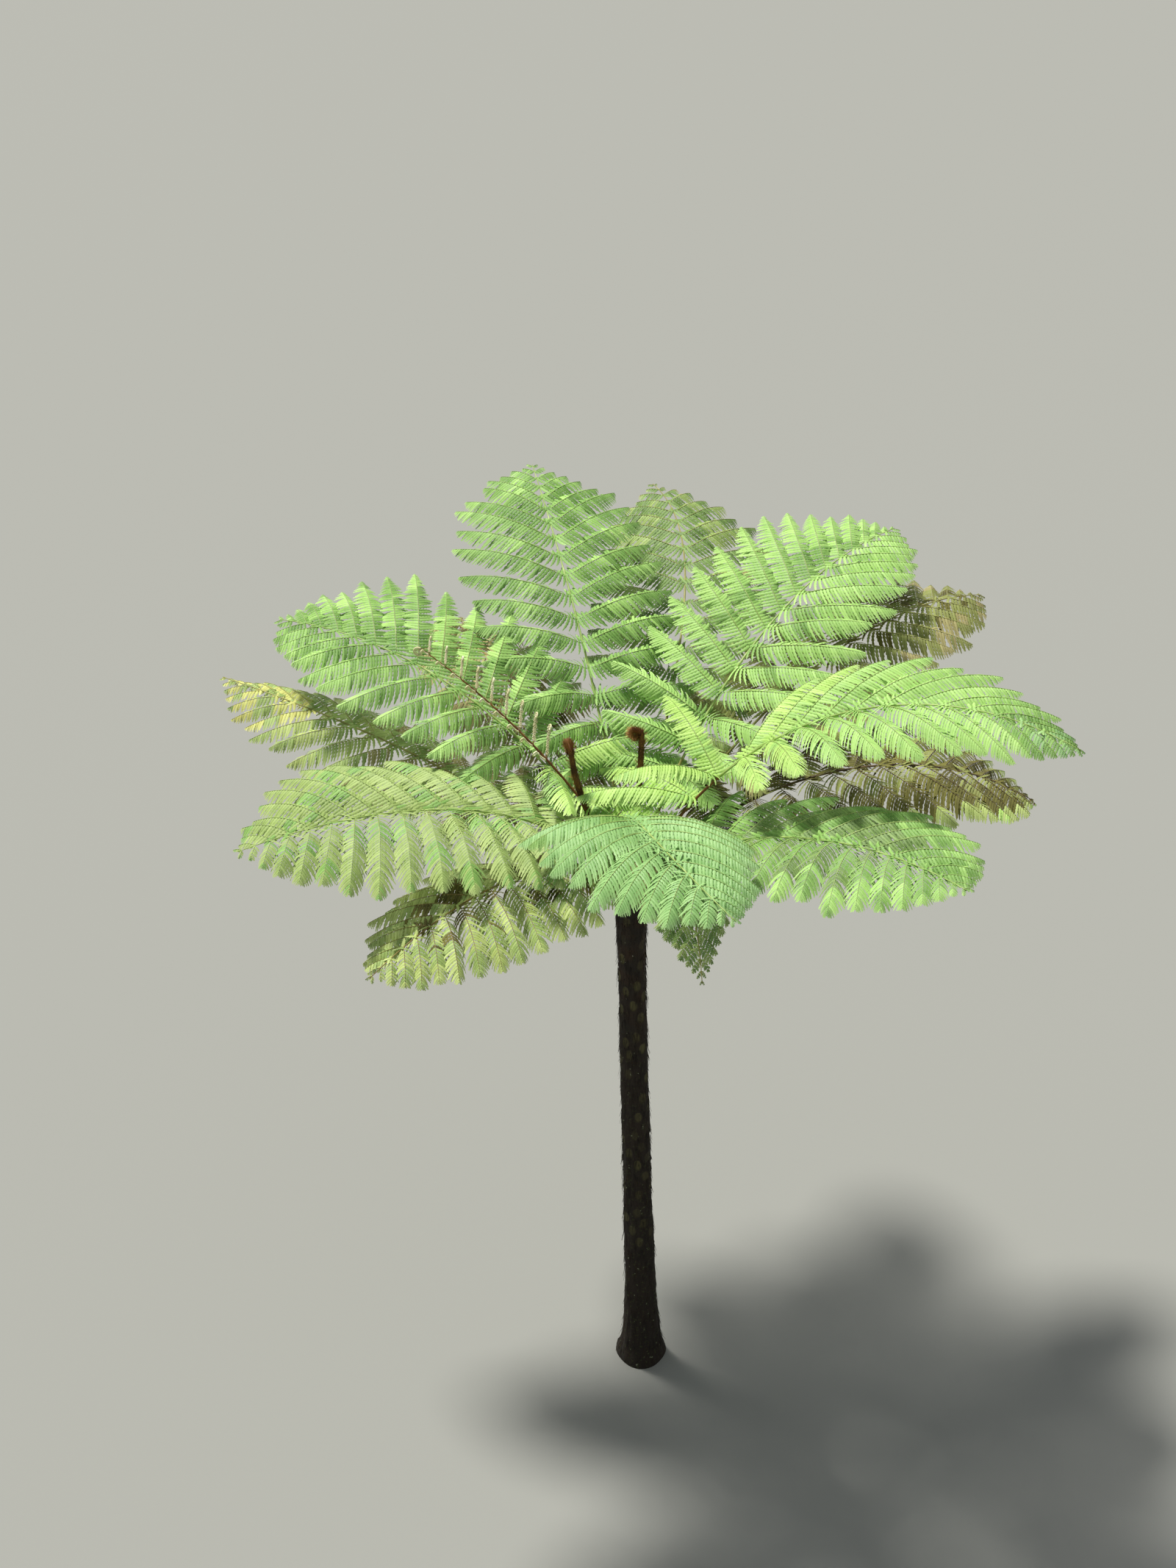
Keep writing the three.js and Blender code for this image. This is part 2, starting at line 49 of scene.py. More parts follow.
# %% [markdown]
# ## Two small helpers for every finish
# Colours are picked as sRGB codes, as on a screen, but a shader works with linear light. One function turns
# them round. A second one adds a node with its settings and links, so that a finish reads as a short list,
# and any colour code among the settings is turned on the way. Two colours are laid over each other by a Mix
# node: its sockets 6 and 7 are the colours, socket 0 is the share of the second one.

# %% Colour and node helpers
def linear(code):
    channels = [int(code[start:start + 2], 16) / 255 for start in (1, 3, 5)]
    return [c / 12.92 if c <= 0.04045 else ((c + 0.055) / 1.055) ** 2.4 for c in channels] + [1.0]


def add(tree, kind, settings, links=()):
    node = tree.nodes.new(kind)
    for key, value in settings.items():
        if isinstance(value, str) and value.startswith("#"):
            value = linear(value)
        # a socket's name or number, or else a property of the node
        if isinstance(key, int) or key in node.inputs:
            node.inputs[key].default_value = value
        else:
            setattr(node, key, value)
    for key, source in dict(links).items():
        tree.links.new(source, node.inputs[key])
    return node


def new_finish(name, roughness):
    material = bpy.data.materials.new(name)
    material.use_nodes = True
    shader = material.node_tree.nodes["Principled BSDF"]
    shader.inputs["Roughness"].default_value = roughness
    return material, material.node_tree, shader


print("pale green in linear light:", [round(c, 3) for c in linear("#c0e691")])

# %% [markdown]
# ## The rule of a frond
# A frond's midrib leaves the trunk at a slope, arches over and may swing to one side. These are the same
# values and the same rule that the solids grow by, in metres, only with finer steps, so each finer frond lies
# where its solid is. Copying points from the solid would be quicker, but then nothing could be changed later.
#
# A frond's terms: the way it leaves in and how far it swings from that, its slope at the foot and at the tip
# and how late it arches, its length and that of its longest leaflet, how it rolls about its midrib, how its
# leaflets rise and droop, how far under the hub it starts, the share without leaflets, the leaflets' angle
# from the midrib, the size of the lowest ones, and how far these are folded. Angles are in degrees.

# %% A row for every frond
TERMS = ("name", "azimuth", "bend", "rise", "fall", "power", "length", "reach", "roll", "lift", "droop",
         "drop", "bare", "angle", "first", "fold")
FRONDS = [dict(zip(TERMS, row)) for row in (
    ("back", 107, -8, 57, 0, 1.2, 2.75, 0.64, -5, 20, 0.78, 0, 0.2, 84, 0.62, 15),
    ("back_right", 48, 0, 61, -8, 1.15, 2.7, 0.63, -6, 22, 0.6, 0, 0.18, 80, 0.7, 15),
    ("right", -18, -10, 64, -20, 1.4, 2.95, 0.68, -4, 24, 0.9, 0, 0.11, 60, 0.85, 52),
    ("front_right", -47, -4, 43, 2, 1.25, 2.6, 0.65, 0, 20, 0.92, 0, 0.15, 84, 0.8, 15),
    ("front", -94, 40, 59, -9, 1.2, 2.8, 0.6, 0, 14, 1.0, 0, 0.15, 78, 0.4, -14),
    ("front_left", 217, -10, 53, -7, 1, 2.6, 0.64, 6, 18, 0.95, 0, 0.15, 90, 0.62, 15),
    ("left", 155, -4, 57, -10, 1.15, 2.5, 0.63, 9, 26, 0.65, 0, 0.12, 84, 0.85, 44),
    ("old_back", 73, 38, 50, -6, 1.1, 3.0, 0.58, 0, 14, 0.8, 0.1, 0.2, 84, 0.62, 15),
    ("old_back_right", 37, 4, 51, -20, 1.3, 2.9, 0.54, -4, 14, 0.6, 0.1, 0.2, 84, 0.62, 15),
    ("old_right", 6, 2, 52, -38, 1.15, 2.45, 0.6, 0, 12, 0.55, 0.1, 0.18, 84, 0.62, 15),
    ("old_front_right", -74, -12, 60, -44, 1.4, 1.9, 0.28, 0, 5, 1, 0.1, 0.18, 80, 0.55, 15),
    ("old_front_left", -124, -10, 46, -20, 1.2, 2.3, 0.52, 0, 5, 0.9, 0.1, 0.18, 84, 0.6, 15),
    ("old_left", 168, -20, 39, 0, 1.1, 2.55, 0.52, 4, 8, 0.8, 0.1, 0.18, 62, 0.62, 15),
    ("old_back_left", 124, -12, 42, -10, 1.15, 2.3, 0.48, 0, 8, 0.8, 0.1, 0.18, 84, 0.62, 15),
)]
# the young frond has no leaflets yet, and stands 30 mm nearer to the trunk's axis
YOUNG = dict(zip(TERMS, ("young", 167, -2, 58, 33, 1.15, 1.65, 0, 0, 0, 0, -0.05, 0.2)), inset=0.03)
print(len(FRONDS), "fronds with leaflets, and one that is still unrolling")

# %% [markdown]
# A midrib is walked in short steps. Its slope changes steadily from foot to tip, and its heading more and
# more towards the tip. The other helpers give a vector of length one, a number between -1 and 1 that looks
# like chance and is the same in every run, and the point and the heading at any share of a path.

# %% Midribs
HUB_HEIGHT = 3.5
LEAN = -0.09
FOOT_RADIUS = 0.05
UP = np.array([0.0, 0.0, 1.0])


def unit(vectors):
    return vectors / np.linalg.norm(vectors, axis=-1, keepdims=True)


def chance(first, second):
    wave = math.sin(first * 12.9898 + second * 78.233) * 43758.5453
    return 2 * (wave - math.floor(wave)) - 1


def trunk_axis(height):
    return np.array([LEAN * height / HUB_HEIGHT, 0.0, height])


def midrib(frond, steps=160):
    share = (np.arange(steps) + 0.5) / steps
    slope = np.radians(frond["rise"] + (frond["fall"] - frond["rise"]) * share ** frond["power"])
    turn = np.radians(frond["azimuth"] + frond["bend"] * share ** 2)
    headings = np.stack([np.cos(slope) * np.cos(turn), np.cos(slope) * np.sin(turn), np.sin(slope)], axis=1)
    way = np.radians(frond["azimuth"])
    foot = trunk_axis(HUB_HEIGHT - frond["drop"])
    foot = foot + (FOOT_RADIUS - frond.get("inset", 0)) * np.array([np.cos(way), np.sin(way), 0])
    return foot + np.vstack([np.zeros(3), np.cumsum(headings, axis=0) * frond["length"] / steps])


def along(path, shares):
    """Points and unit directions at shares of a path."""
    steps = np.linspace(0, 1, len(path))
    slopes = np.gradient(path, axis=0)
    point = np.stack([np.interp(shares, steps, path[:, axis]) for axis in range(3)], axis=-1)
    heading = np.stack([np.interp(shares, steps, slopes[:, axis]) for axis in range(3)], axis=-1)
    return point, unit(heading)


def midrib_radius(frond, share):
    bare = frond["bare"]
    # 42 mm thick at the foot, 16 mm where the leaflets start, 4 mm at the tip
    foot = 0.008 + 0.013 * (1 - np.minimum(share / bare, 1)) ** 2
    blade = 0.002 + 0.006 * (np.clip(1 - share, 0, 1) / (1 - bare)) ** 0.8
    return np.where(share < bare, foot, blade)


for frond in FRONDS[:3]:
    print(frond["name"], "tip at", midrib(frond)[-1].round(2))

# %% [markdown]
# ## The rule of a leaflet
# Seventeen pairs of leaflets leave the midrib, closer together towards the tip. They are longest in the
# middle and short at the tip. How short the lowest ones are differs from frond to frond.

# %% Places and lengths of leaflets
PAIRS = 17


def pair_place(number):
    return 1 - (1 - (number + 0.5) / PAIRS) ** 1.3


def leaflet_share(first, place):
    grown = math.sin(math.pi / 2 * min(1, place / 0.4))
    taper = (max(0, place - 0.56) / 0.44) ** 1.6
    return max(0.08, (first + (1 - first) * grown) * (1 - taper))


print("lengths of every fourth leaflet:", [round(leaflet_share(0.6, pair_place(number)), 2)
                                           for number in range(0, PAIRS, 4)])

# %% [markdown]
# Each leaflet rises a little, hangs further out and bends towards the frond's tip. The lowest few pairs are
# folded, which turns them up and back over the middle of the crown. Every leaflet lies nearly level, whatever
# its midrib does, as leaves do that seek the light. Its rib comes from the same rule as the solid's.

# %% Leaflets along a frond
def leaflet(frond, path, number, side, steps=24):
    seed = FRONDS.index(frond) + 1
    key = 2 * number + (1 if side > 0 else 0)
    place = pair_place(number)
    share = frond["bare"] + (1 - frond["bare"]) * place
    point, direction = along(path, share)
    across = unit(np.cross(direction, UP))
    upright = np.cross(across, direction)
    roll = math.radians(frond["roll"])
    right = across * math.cos(roll) + upright * math.sin(roll)
    over = upright * math.cos(roll) - across * math.sin(roll)
    # the fold is full on the lowest two pairs and gone by the fourth
    fold = frond["fold"] * min(1, max(0, 0.24 - place) / 0.08)
    angle = math.radians(frond["angle"] - 38 * place + 0.9 * fold)
    lift = math.radians(frond["lift"] + fold + 4 * chance(seed, key))
    start = (direction * math.cos(angle) + right * side * math.sin(angle) * math.cos(lift)
             + over * math.sin(angle) * math.sin(lift))
    length = frond["reach"] * leaflet_share(frond["first"], place) * (1 + 0.06 * chance(key, seed))
    done = ((np.arange(steps) + 0.5) / steps)[:, None]
    headings = unit(start - UP * frond["droop"] * done + direction * 0.2 * done)
    rib = point + np.vstack([np.zeros(3), np.cumsum(headings, axis=0) * length / steps])
    spacing = frond["length"] * (1 - frond["bare"]) * (pair_place(number + 0.5) - pair_place(number - 0.5))
    half_width = min(0.104, 0.95 * spacing * math.sin(angle), 0.3 * length)
    return {"rib": rib, "over": unit(over + 1.5 * UP), "length": length, "half_width": half_width,
            "place": place, "key": key, "seed": seed,
            "thickness": float(midrib_radius(frond, np.float64(share)))}


ROUTES = {frond["name"]: midrib(frond) for frond in [*FRONDS, YOUNG]}
LEAFLETS = {frond["name"]: [leaflet(frond, ROUTES[frond["name"]], number, side)
                            for number in range(PAIRS) for side in (1, -1)] for frond in FRONDS}
print("longest leaflet", round(max(row["length"] for rows in LEAFLETS.values() for row in rows), 3), "m")

# %% [markdown]
# ## One small leaf
# The last division of the frond is a narrow leaf, lobed along both edges and curved like a sickle. It is
# repeated some twenty thousand times, so it gets only as many faces as its own outline needs: a row of points
# on its vein and, for each lobe, one tip and one notch on either side.

# %% The small leaf as a template
def leaf_outline(x):
    return np.minimum(1, 0.7 + 3 * x) * (1 - x ** 4) ** 0.7


def small_leaf(lobes):
    vein = np.linspace(0, 1, lobes + 1)
    tips = (vein[:-1] + vein[1:]) / 2 + 0.2 / lobes
    rows = [(x, 0.0) for x in vein]
    faces = []
    for side in (1, -1):
        first = len(rows)
        rows += [(x, side * 0.6 * leaf_outline(x)) for x in vein[:-1]]
        rows += [(x, side * leaf_outline(x)) for x in tips]
        for lobe in range(lobes):
            notch, tip = first + lobe, first + lobes + lobe
            after = notch + 1 if lobe < lobes - 1 else lobe + 1
            faces += [(lobe, notch, tip), (lobe, tip, after)]
            if lobe < lobes - 1:
                faces.append((lobe, after, lobe + 1))
    rows = np.array(rows)
    faces = np.array(faces)
    first, second, third = (rows[faces[:, corner]] for corner in range(3))
    area = np.cross(second - first, third - first)
    faces[area < 0] = faces[area < 0][:, ::-1]
    return rows, faces


FULL_LEAF = small_leaf(5)
TINY_LEAF = small_leaf(2)
print("faces of a small leaf:", len(FULL_LEAF[1]), "and near the tips:", len(TINY_LEAF[1]))

# %% [markdown]
# ## Joined meshes from arrays
# Thousands of small things are fastest as one mesh, filled from arrays of points and triangles. Each small
# leaf also gets a place in a map of its own: along the leaf, across it, and a whole number that differs from
# leaf to leaf, from which the finish draws the vein and a tone of its own.

# %% Mesh from arrays
def piece(name, points, faces, finishes, finish_of=None, blade=None):
    mesh = bpy.data.meshes.new(name)
    mesh.vertices.add(len(points))
    mesh.vertices.foreach_set("co", np.ascontiguousarray(points, np.float32).ravel())
    mesh.loops.add(faces.size)
    mesh.loops.foreach_set("vertex_index", np.ascontiguousarray(faces, np.int32).ravel())
    mesh.polygons.add(len(faces))
    mesh.polygons.foreach_set("loop_start", np.arange(0, faces.size, 3, dtype=np.int32))
    for finish in finishes:
        mesh.materials.append(finish)
    if finish_of is not None:
        mesh.polygons.foreach_set("material_index", np.ascontiguousarray(finish_of, np.int32))
    if blade is not None:
        layer = mesh.uv_layers.new(name="blade")
        layer.uv.foreach_set("vector", np.ascontiguousarray(blade[faces.ravel()], np.float32).ravel())
    mesh.update(calc_edges=True)
    mesh.shade_smooth()
    made = bpy.data.objects.new(name, mesh)
    bpy.context.collection.objects.link(made)
    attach(made, "root")
    return made


print("corners of one small leaf's faces:", FULL_LEAF[1].size)

# %% [markdown]
# Ribs, coils and loose roots are all round stems along a path. Bevelled curves would do for a few, but not
# for thousands. So rings of points are laid along all the paths at once, and the same triangles join each
# set of rings and close its ends.

# %% Stems from arrays
def tubes(paths, radii, reference, sides):
    """Closed round stems along paths of equal length: points and triangles."""
    count, rings = paths.shape[:2]
    heading = unit(np.gradient(paths, axis=1))
    across = unit(np.cross(np.broadcast_to(reference[:, None], paths.shape), heading))
    over = np.cross(heading, across)
    turn = np.arange(sides) * 2 * np.pi / sides
    ring = across[:, :, None] * np.cos(turn)[:, None] + over[:, :, None] * np.sin(turn)[:, None]
    points = paths[:, :, None] + ring * radii[:, :, None, None]
    corner = np.arange(rings * sides).reshape(rings, sides)
    low, high = corner[:-1], corner[1:]
    low_next, high_next = np.roll(low, -1, axis=1), np.roll(high, -1, axis=1)
    faces = [np.stack([low, low_next, high_next], -1).reshape(-1, 3),
             np.stack([low, high_next, high], -1).reshape(-1, 3)]
    for side in range(1, sides - 1):
        faces.append(np.array([[corner[0, 0], corner[0, side + 1], corner[0, side]],
                               [corner[-1, 0], corner[-1, side], corner[-1, side + 1]]]))
    faces = np.concatenate(faces)
    offsets = np.arange(count)[:, None, None] * rings * sides
    return points.reshape(-1, 3), (faces[None] + offsets).reshape(-1, 3)


def join(parts):
    """Joins (points, faces) pairs into one pair."""
    starts = np.cumsum([0] + [len(points) for points, _ in parts[:-1]])
    return (np.concatenate([points for points, _ in parts]),
            np.concatenate([faces + start for (_, faces), start in zip(parts, starts)]))


trial = tubes(ROUTES["back"][None], np.full((1, len(ROUTES["back"])), 0.01), UP[None], 8)
print("a plain tube along one midrib has", len(trial[0]), "points and", len(trial[1]), "faces")

# %% [markdown]
# ## Living leaf
# A fern's leaf is thin green tissue with a waxy skin: soft sheen, paler along its vein, a slightly different
# green from one small leaf to the next. A photograph on a texture would do, but a few nodes give the same at
# any distance: a fixed number per leaf for its tone, a broad cloud for the plant's own variation, the vein
# and its side veins from the leaf's map.

# %% Leaf finishes
def leaf_finish(name, colour, pale, deep, roughness=0.5):
    material, tree, shader = new_finish(name, roughness)
    blade = add(tree, "ShaderNodeUVMap", {"uv_map": "blade"})
    parts = add(tree, "ShaderNodeSeparateXYZ", {}, {0: blade.outputs[0]})
    leaf_number = add(tree, "ShaderNodeMath", {"operation": "FLOOR"}, {0: parts.outputs[0]})
    length_way = add(tree, "ShaderNodeMath", {"operation": "FRACT"}, {0: parts.outputs[0]})
    tone = add(tree, "ShaderNodeTexWhiteNoise", {"noise_dimensions": "1D"}, {"W": leaf_number.outputs[0]})
    place = add(tree, "ShaderNodeTexCoord", {})
    # a cloud 0.2 m across: one side of a frond is a little deeper than the other
    cloud = add(tree, "ShaderNodeTexNoise", {"Scale": 5.0, "Detail": 2.0},
                {"Vector": place.outputs["Object"]})
    both = add(tree, "ShaderNodeMath", {"operation": "MULTIPLY_ADD", 1: 0.45},
               {0: tone.outputs[0], 2: cloud.outputs[0]})
    ramp = add(tree, "ShaderNodeMapRange", {"From Min": 0.45, "From Max": 1.0}, {"Value": both.outputs[0]})
    green = add(tree, "ShaderNodeMix", {"data_type": "RGBA", 6: deep, 7: colour}, {0: ramp.outputs[0]})
    # the outer end of a small leaf is younger and paler
    outer = add(tree, "ShaderNodeMapRange", {"From Min": 0.35, "From Max": 1.0, "To Max": 0.7},
                {"Value": length_way.outputs[0]})
    tipped = add(tree, "ShaderNodeMix", {"data_type": "RGBA", 7: pale},
                 {0: outer.outputs[0], 6: green.outputs[2]})
    # the vein is a strip a tenth of the leaf's width, about 1.5 mm
    off_vein = add(tree, "ShaderNodeMath", {"operation": "ABSOLUTE"}, {0: parts.outputs[1]})
    vein = add(tree, "ShaderNodeMapRange", {"From Min": 0.16, "From Max": 0.0, "To Max": 0.55},
               {"Value": off_vein.outputs[0]})
    veined = add(tree, "ShaderNodeMix", {"data_type": "RGBA", 7: pale},
                 {0: vein.outputs[0], 6: tipped.outputs[2]})
    # painted shade: its edges, which curl under, are darkened for the shadow there and in the gaps between
    # neighbouring leaves, which is what draws the teeth of the comb from afar
    edge = add(tree, "ShaderNodeMapRange", {"From Min": 0.5, "From Max": 1.0, "To Max": 0.8},
               {"Value": off_vein.outputs[0]})
    with_painted_edge_shade = add(tree, "ShaderNodeMix", {"data_type": "RGBA", 7: deep},
                {0: edge.outputs[0], 6: veined.outputs[2]})
    tree.links.new(with_painted_edge_shade.outputs[2], shader.inputs["Base Color"])
    # fifteen side veins on each side, 4 to 6 mm apart, swept forward as they leave the vein
    sweep = add(tree, "ShaderNodeMath", {"operation": "MULTIPLY_ADD", 1: -0.12},
                {0: off_vein.outputs[0], 2: length_way.outputs[0]})
    rows = add(tree, "ShaderNodeMath", {"operation": "MULTIPLY", 1: 2 * math.pi * 15}, {0: sweep.outputs[0]})
    wave = add(tree, "ShaderNodeMath", {"operation": "SINE"}, {0: rows.outputs[0]})
    bump = add(tree, "ShaderNodeBump", {"Strength": 0.5, "Distance": 0.0006}, {"Height": wave.outputs[0]})
    tree.links.new(bump.outputs[0], shader.inputs["Normal"])
    return material


print("mid green in linear light:", [round(c, 3) for c in linear("#93bf62")])

# %% [markdown]
# The tissue is the same all over the crown, but its age and its light differ, and some finishes below paint
# that light and shade into the leaf's colour. Living leaves have a satin skin with a wax bloom, so their
# roughness is near 0.5. As they dry, the wax goes and they turn matt.

# %% Eleven ages and lights of leaf
LEAF = {
    # the youngest tissue, thin and yellow green, brightened with painted light as if the sun shone through it
    "fresh": leaf_finish("leaf_young_with_painted_light_through", "#c4ea80", "#dcfaa0", "#a2cc60"),
    # full-grown, with painted light: the leaf as it looks in full sun, pale, clear green
    "bright": leaf_finish("leaf_in_full_light", "#b3dd7b", "#cff49c", "#93c163"),
    # full-grown in half light: the plain green of most of the crown
    "green": leaf_finish("leaf_mid_green", "#93bf62", "#b6da88", "#6f9c47"),
    # a thicker bloom of wax, with a little more sheen; its cooler colour is partly a painted reflection of
    # the pale sky
    "mint": leaf_finish("leaf_waxy_with_painted_sky_tint", "#9bc87c", "#c2e6a0", "#7bab60", 0.42),
    # a year old: greyer and a little yellow
    "olive": leaf_finish("leaf_pale_olive", "#a9c170", "#cddd96", "#86a052"),
    # painted shade: the leaf as it looks under other fronds, deep and quiet
    "shade": leaf_finish("leaf_painted_shade", "#86a659", "#a9c67c", "#5f7d3c"),
    # losing its wax: matt brownish green
    "dull": leaf_finish("leaf_old_dull_olive", "#949d52", "#b4ba75", "#74793d", 0.65),
    # the green is going, and what is left shines yellow
    "yellow": leaf_finish("leaf_turning_yellow", "#dae084", "#f2f5a8", "#b9b65c", 0.6),
    # on its way there: pale yellow green
    "lime": leaf_finish("leaf_fading_lime", "#c3d583", "#dfeea2", "#9cae5a", 0.55),
    # dry: straw-coloured and dull
    "tan": leaf_finish("leaf_withered_tan", "#b3ac74", "#cfc894", "#8b8250", 0.75),
    # dead and hanging: earth brown
    "brown": leaf_finish("leaf_dead_brown", "#726f2f", "#8f8c48", "#4c481c", 0.8),
}
print(len(LEAF), "leaf finishes")

# %% [markdown]
# ## Which spray has which colour
# The crown isn't one green. The fronds at the back right stand in full light, the front one has a bluish
# bloom, partly a painted reflection of the sky, and the lower ones are fading from the stem outwards. Light
# and shade are painted in as well: stretches in full light, lit through as young leaflets, or in shade under
# other fronds take a lighter or darker finish. Each frond has a list: a finish, the stretch of the frond and
# of the leaflet that it may colour, and how many of the leaves there take it. Later rows win.

# %% Tints of the fronds
TINTS = {
    "back": [("green", 0, 1, 0, 1, 1), ("bright", 0, 1, 0.3, 1, 0.25)],
    "back_right": [("bright", 0, 1, 0, 1, 1), ("green", 0, 1, 0, 0.4, 0.3)],
    "right": [("bright", 0, 0.8, 0, 1, 1), ("fresh", 0, 0.34, 0, 1, 0.85), ("green", 0.78, 1, 0, 1, 1),
              ("mint", 0.84, 1, 0, 1, 0.5)],
    "front_right": [("green", 0, 1, 0, 1, 1), ("bright", 0.5, 1, 0.55, 1, 0.7),
                    ("shade", 0, 0.75, 0, 0.7, 0.5)],
    "front": [("mint", 0, 1, 0, 1, 1), ("green", 0, 0.4, 0, 1, 0.4)],
    "front_left": [("olive", 0, 1, 0, 1, 1), ("green", 0, 1, 0, 1, 0.2)],
    "left": [("green", 0, 1, 0, 1, 1), ("bright", 0.3, 1, 0.3, 1, 0.6), ("fresh", 0, 0.2, 0, 1, 0.6)],
    "old_back": [("shade", 0, 1, 0, 1, 1), ("olive", 0, 1, 0.3, 1, 0.5), ("tan", 0.4, 1, 0.6, 1, 0.08)],
    "old_back_right": [("dull", 0, 1, 0, 1, 1), ("tan", 0, 1, 0, 1, 0.25), ("brown", 0, 1, 0, 0.5, 0.3)],
    "old_right": [("brown", 0, 1, 0, 0.8, 1), ("dull", 0, 1, 0, 1, 0.3), ("lime", 0, 1, 0.75, 1, 0.85)],
    "old_front_right": [("shade", 0, 1, 0, 1, 1), ("tan", 0, 0.6, 0, 1, 0.6), ("olive", 0.5, 1, 0, 1, 0.5)],
    "old_front_left": [("lime", 0, 1, 0, 1, 1), ("olive", 0, 1, 0, 1, 0.4),
                       ("brown", 0.05, 0.8, 0, 0.45, 0.3)],
    "old_left": [("olive", 0, 1, 0, 1, 1), ("tan", 0, 0.5, 0, 1, 0.3), ("lime", 0.5, 1, 0, 1, 0.6),
                 ("yellow", 0.7, 1, 0, 1, 0.6)],
    "old_back_left": [("tan", 0, 1, 0, 1, 1), ("olive", 0, 1, 0, 1, 0.35), ("brown", 0, 1, 0, 0.4, 0.3)],
}
NAMES = list(LEAF)
print("tints for", len(TINTS), "fronds")

# %% [markdown]
# ## Small leaves on a leaflet
# On both sides of a leaflet's rib the small leaves stand close like the teeth of a comb. They leave it almost
# square, hang down on either side as a roof does, and curve towards the leaflet's tip. Near that tip they are
# shorter and closer. Old fronds have dried a little: their leaves are narrower and hang at odds.

# %% Place the small leaves
LEAF_SPACING = 0.0172


def small_leaves(frond, row, dryness):
    rng = np.random.default_rng(1000 * row["seed"] + row["key"])
    length, rib = row["length"], row["rib"]
    count = max(4, round(length / LEAF_SPACING))
    edges = 1 - (1 - np.arange(count + 1) / count) ** 1.12
    share = np.repeat((edges[1:] + edges[:-1]) / 2, 2)
    spacing = np.repeat(np.diff(edges), 2) * length
    hand = np.tile([1.0, -1.0], count)
    share = share + hand * 0.12 * spacing / length
    base, heading = along(rib, share)
    # the first ones lie over the midrib
    lying = np.clip(1 - share / 0.12, 0, 1)
    base = base + row["over"] * (1.6 * row["thickness"] * lying)[:, None]
    across = unit(np.cross(row["over"], heading))
    upward = np.cross(heading, across)
    twist = math.radians(7 + 90 * dryness) * chance(row["key"] + 3, row["seed"] + 5)
    across, upward = (across * math.cos(twist) + upward * math.sin(twist),
                      upward * math.cos(twist) - across * math.sin(twist))
    # the number by which a tint is dealt out changes slowly along the leaflet, so that colours lie in patches
    shade = 0.5 + 0.4 * np.sin(8 * share + 6.3 * rng.random()) + rng.normal(0, 0.1, len(share))
    shade = np.clip(shade, 0, 0.999)
    shaky = 1 + 3 * dryness
    angle = np.radians(80 + 34 * lying - 32 * share ** 2 + rng.normal(0, 2.5 * shaky, len(share)))
    fall = np.radians((18 + 12 * dryness) * (1 - 1.3 * lying) + rng.normal(0, 4 * shaky, len(share)))
    sideways = across * hand[:, None]
    outward = sideways * np.cos(fall)[:, None] - upward * np.sin(fall)[:, None]
    normal = upward * np.cos(fall)[:, None] + sideways * np.sin(fall)[:, None]
    start = heading * np.cos(angle)[:, None] + outward * np.sin(angle)[:, None]
    outline = np.minimum(1, 0.84 + share) * (1 - 0.9 * (np.maximum(0, share - 0.45) / 0.55) ** 2.3)
    size = row["half_width"] * outline / np.sin(np.radians(80 - 32 * share ** 2))
    size = np.maximum(0.006, size * (1 + rng.normal(0, 0.03 * shaky, len(share))))
    return {"base": base, "start": start, "normal": normal, "heading": heading, "size": size,
            "half": 0.56 * spacing * (1 - 0.15 * dryness), "share": share, "shade": shade,
            "number": rng.integers(0, 64, len(share)), "place": np.full(len(share), row["place"]),
            "hang": 0.42 + 0.15 * dryness - 0.3 * lying + rng.normal(0, 0.04 * shaky, len(share))}


print("small leaves on one leaflet:", len(small_leaves(FRONDS[0], LEAFLETS["back"][12], 0)["size"]))

# %% [markdown]
# A template is laid on every place by one sum over arrays: along the leaf, across it, bowed down towards its
# end, hooked towards the leaflet's tip, and folded a little along its vein.

# %% Mesh of many small leaves
def leaf_mesh(rows, template, hooked=0.2, fold=0.35):
    """Points, faces and map of many small leaves: rows of arrays, one entry a leaf."""
    shape, faces = template
    x, y = shape[:, 0], shape[:, 1]
    # each leaf is turned a little about its own vein, so that it overlaps the next like a slat of a blind
    leaning = rows["normal"] - 0.1 * rows["heading"]
    width_way = unit(np.cross(leaning, rows["start"]))
    normal = unit(np.cross(rows["start"], width_way))
    size, half = rows["size"][:, None, None], rows["half"][:, None, None]
    bend = hooked * rows["heading"][:, None] - rows["hang"][:, None, None] * normal[:, None]
    lengthwise = x[None, :, None] * rows["start"][:, None] + (x ** 2)[None, :, None] * bend
    crosswise = y[None, :, None] * width_way[:, None] - fold * np.abs(y)[None, :, None] * normal[:, None]
    points = rows["base"][:, None] + size * lengthwise + half * crosswise
    blade = np.stack([rows["number"][:, None] + 0.98 * x[None] + 0.01,
                      np.broadcast_to(y, (len(rows["size"]), len(y)))], axis=-1)
    offsets = np.arange(len(rows["size"]))[:, None, None] * len(shape)
    return points.reshape(-1, 3), (faces[None] + offsets).reshape(-1, 3), blade.reshape(-1, 2)


print("points of a full leaf and of a plain one:", len(FULL_LEAF[0]), len(TINY_LEAF[0]))

# %% [markdown]
# Now each frond grows: its leaves are placed, each gets its tint, large ones take the full template and small
# ones the plain one, and all of a frond are joined, so that a frond can still be hidden or changed alone.

# %% Grow the small leaves
def tint_of(name, rows):
    chosen = np.zeros(len(rows["size"]), int)
    for finish, low, high, inner, outer, likely in TINTS[name]:
        here = (rows["place"] >= low) & (rows["place"] <= high) & (rows["share"] >= inner)
        here &= (rows["share"] <= outer) & (rows["shade"] < likely)
        chosen[here] = NAMES.index(finish)
    return chosen


# metres long: below this a leaf is too small for its five lobes to show
LARGE_LEAF = 0.022
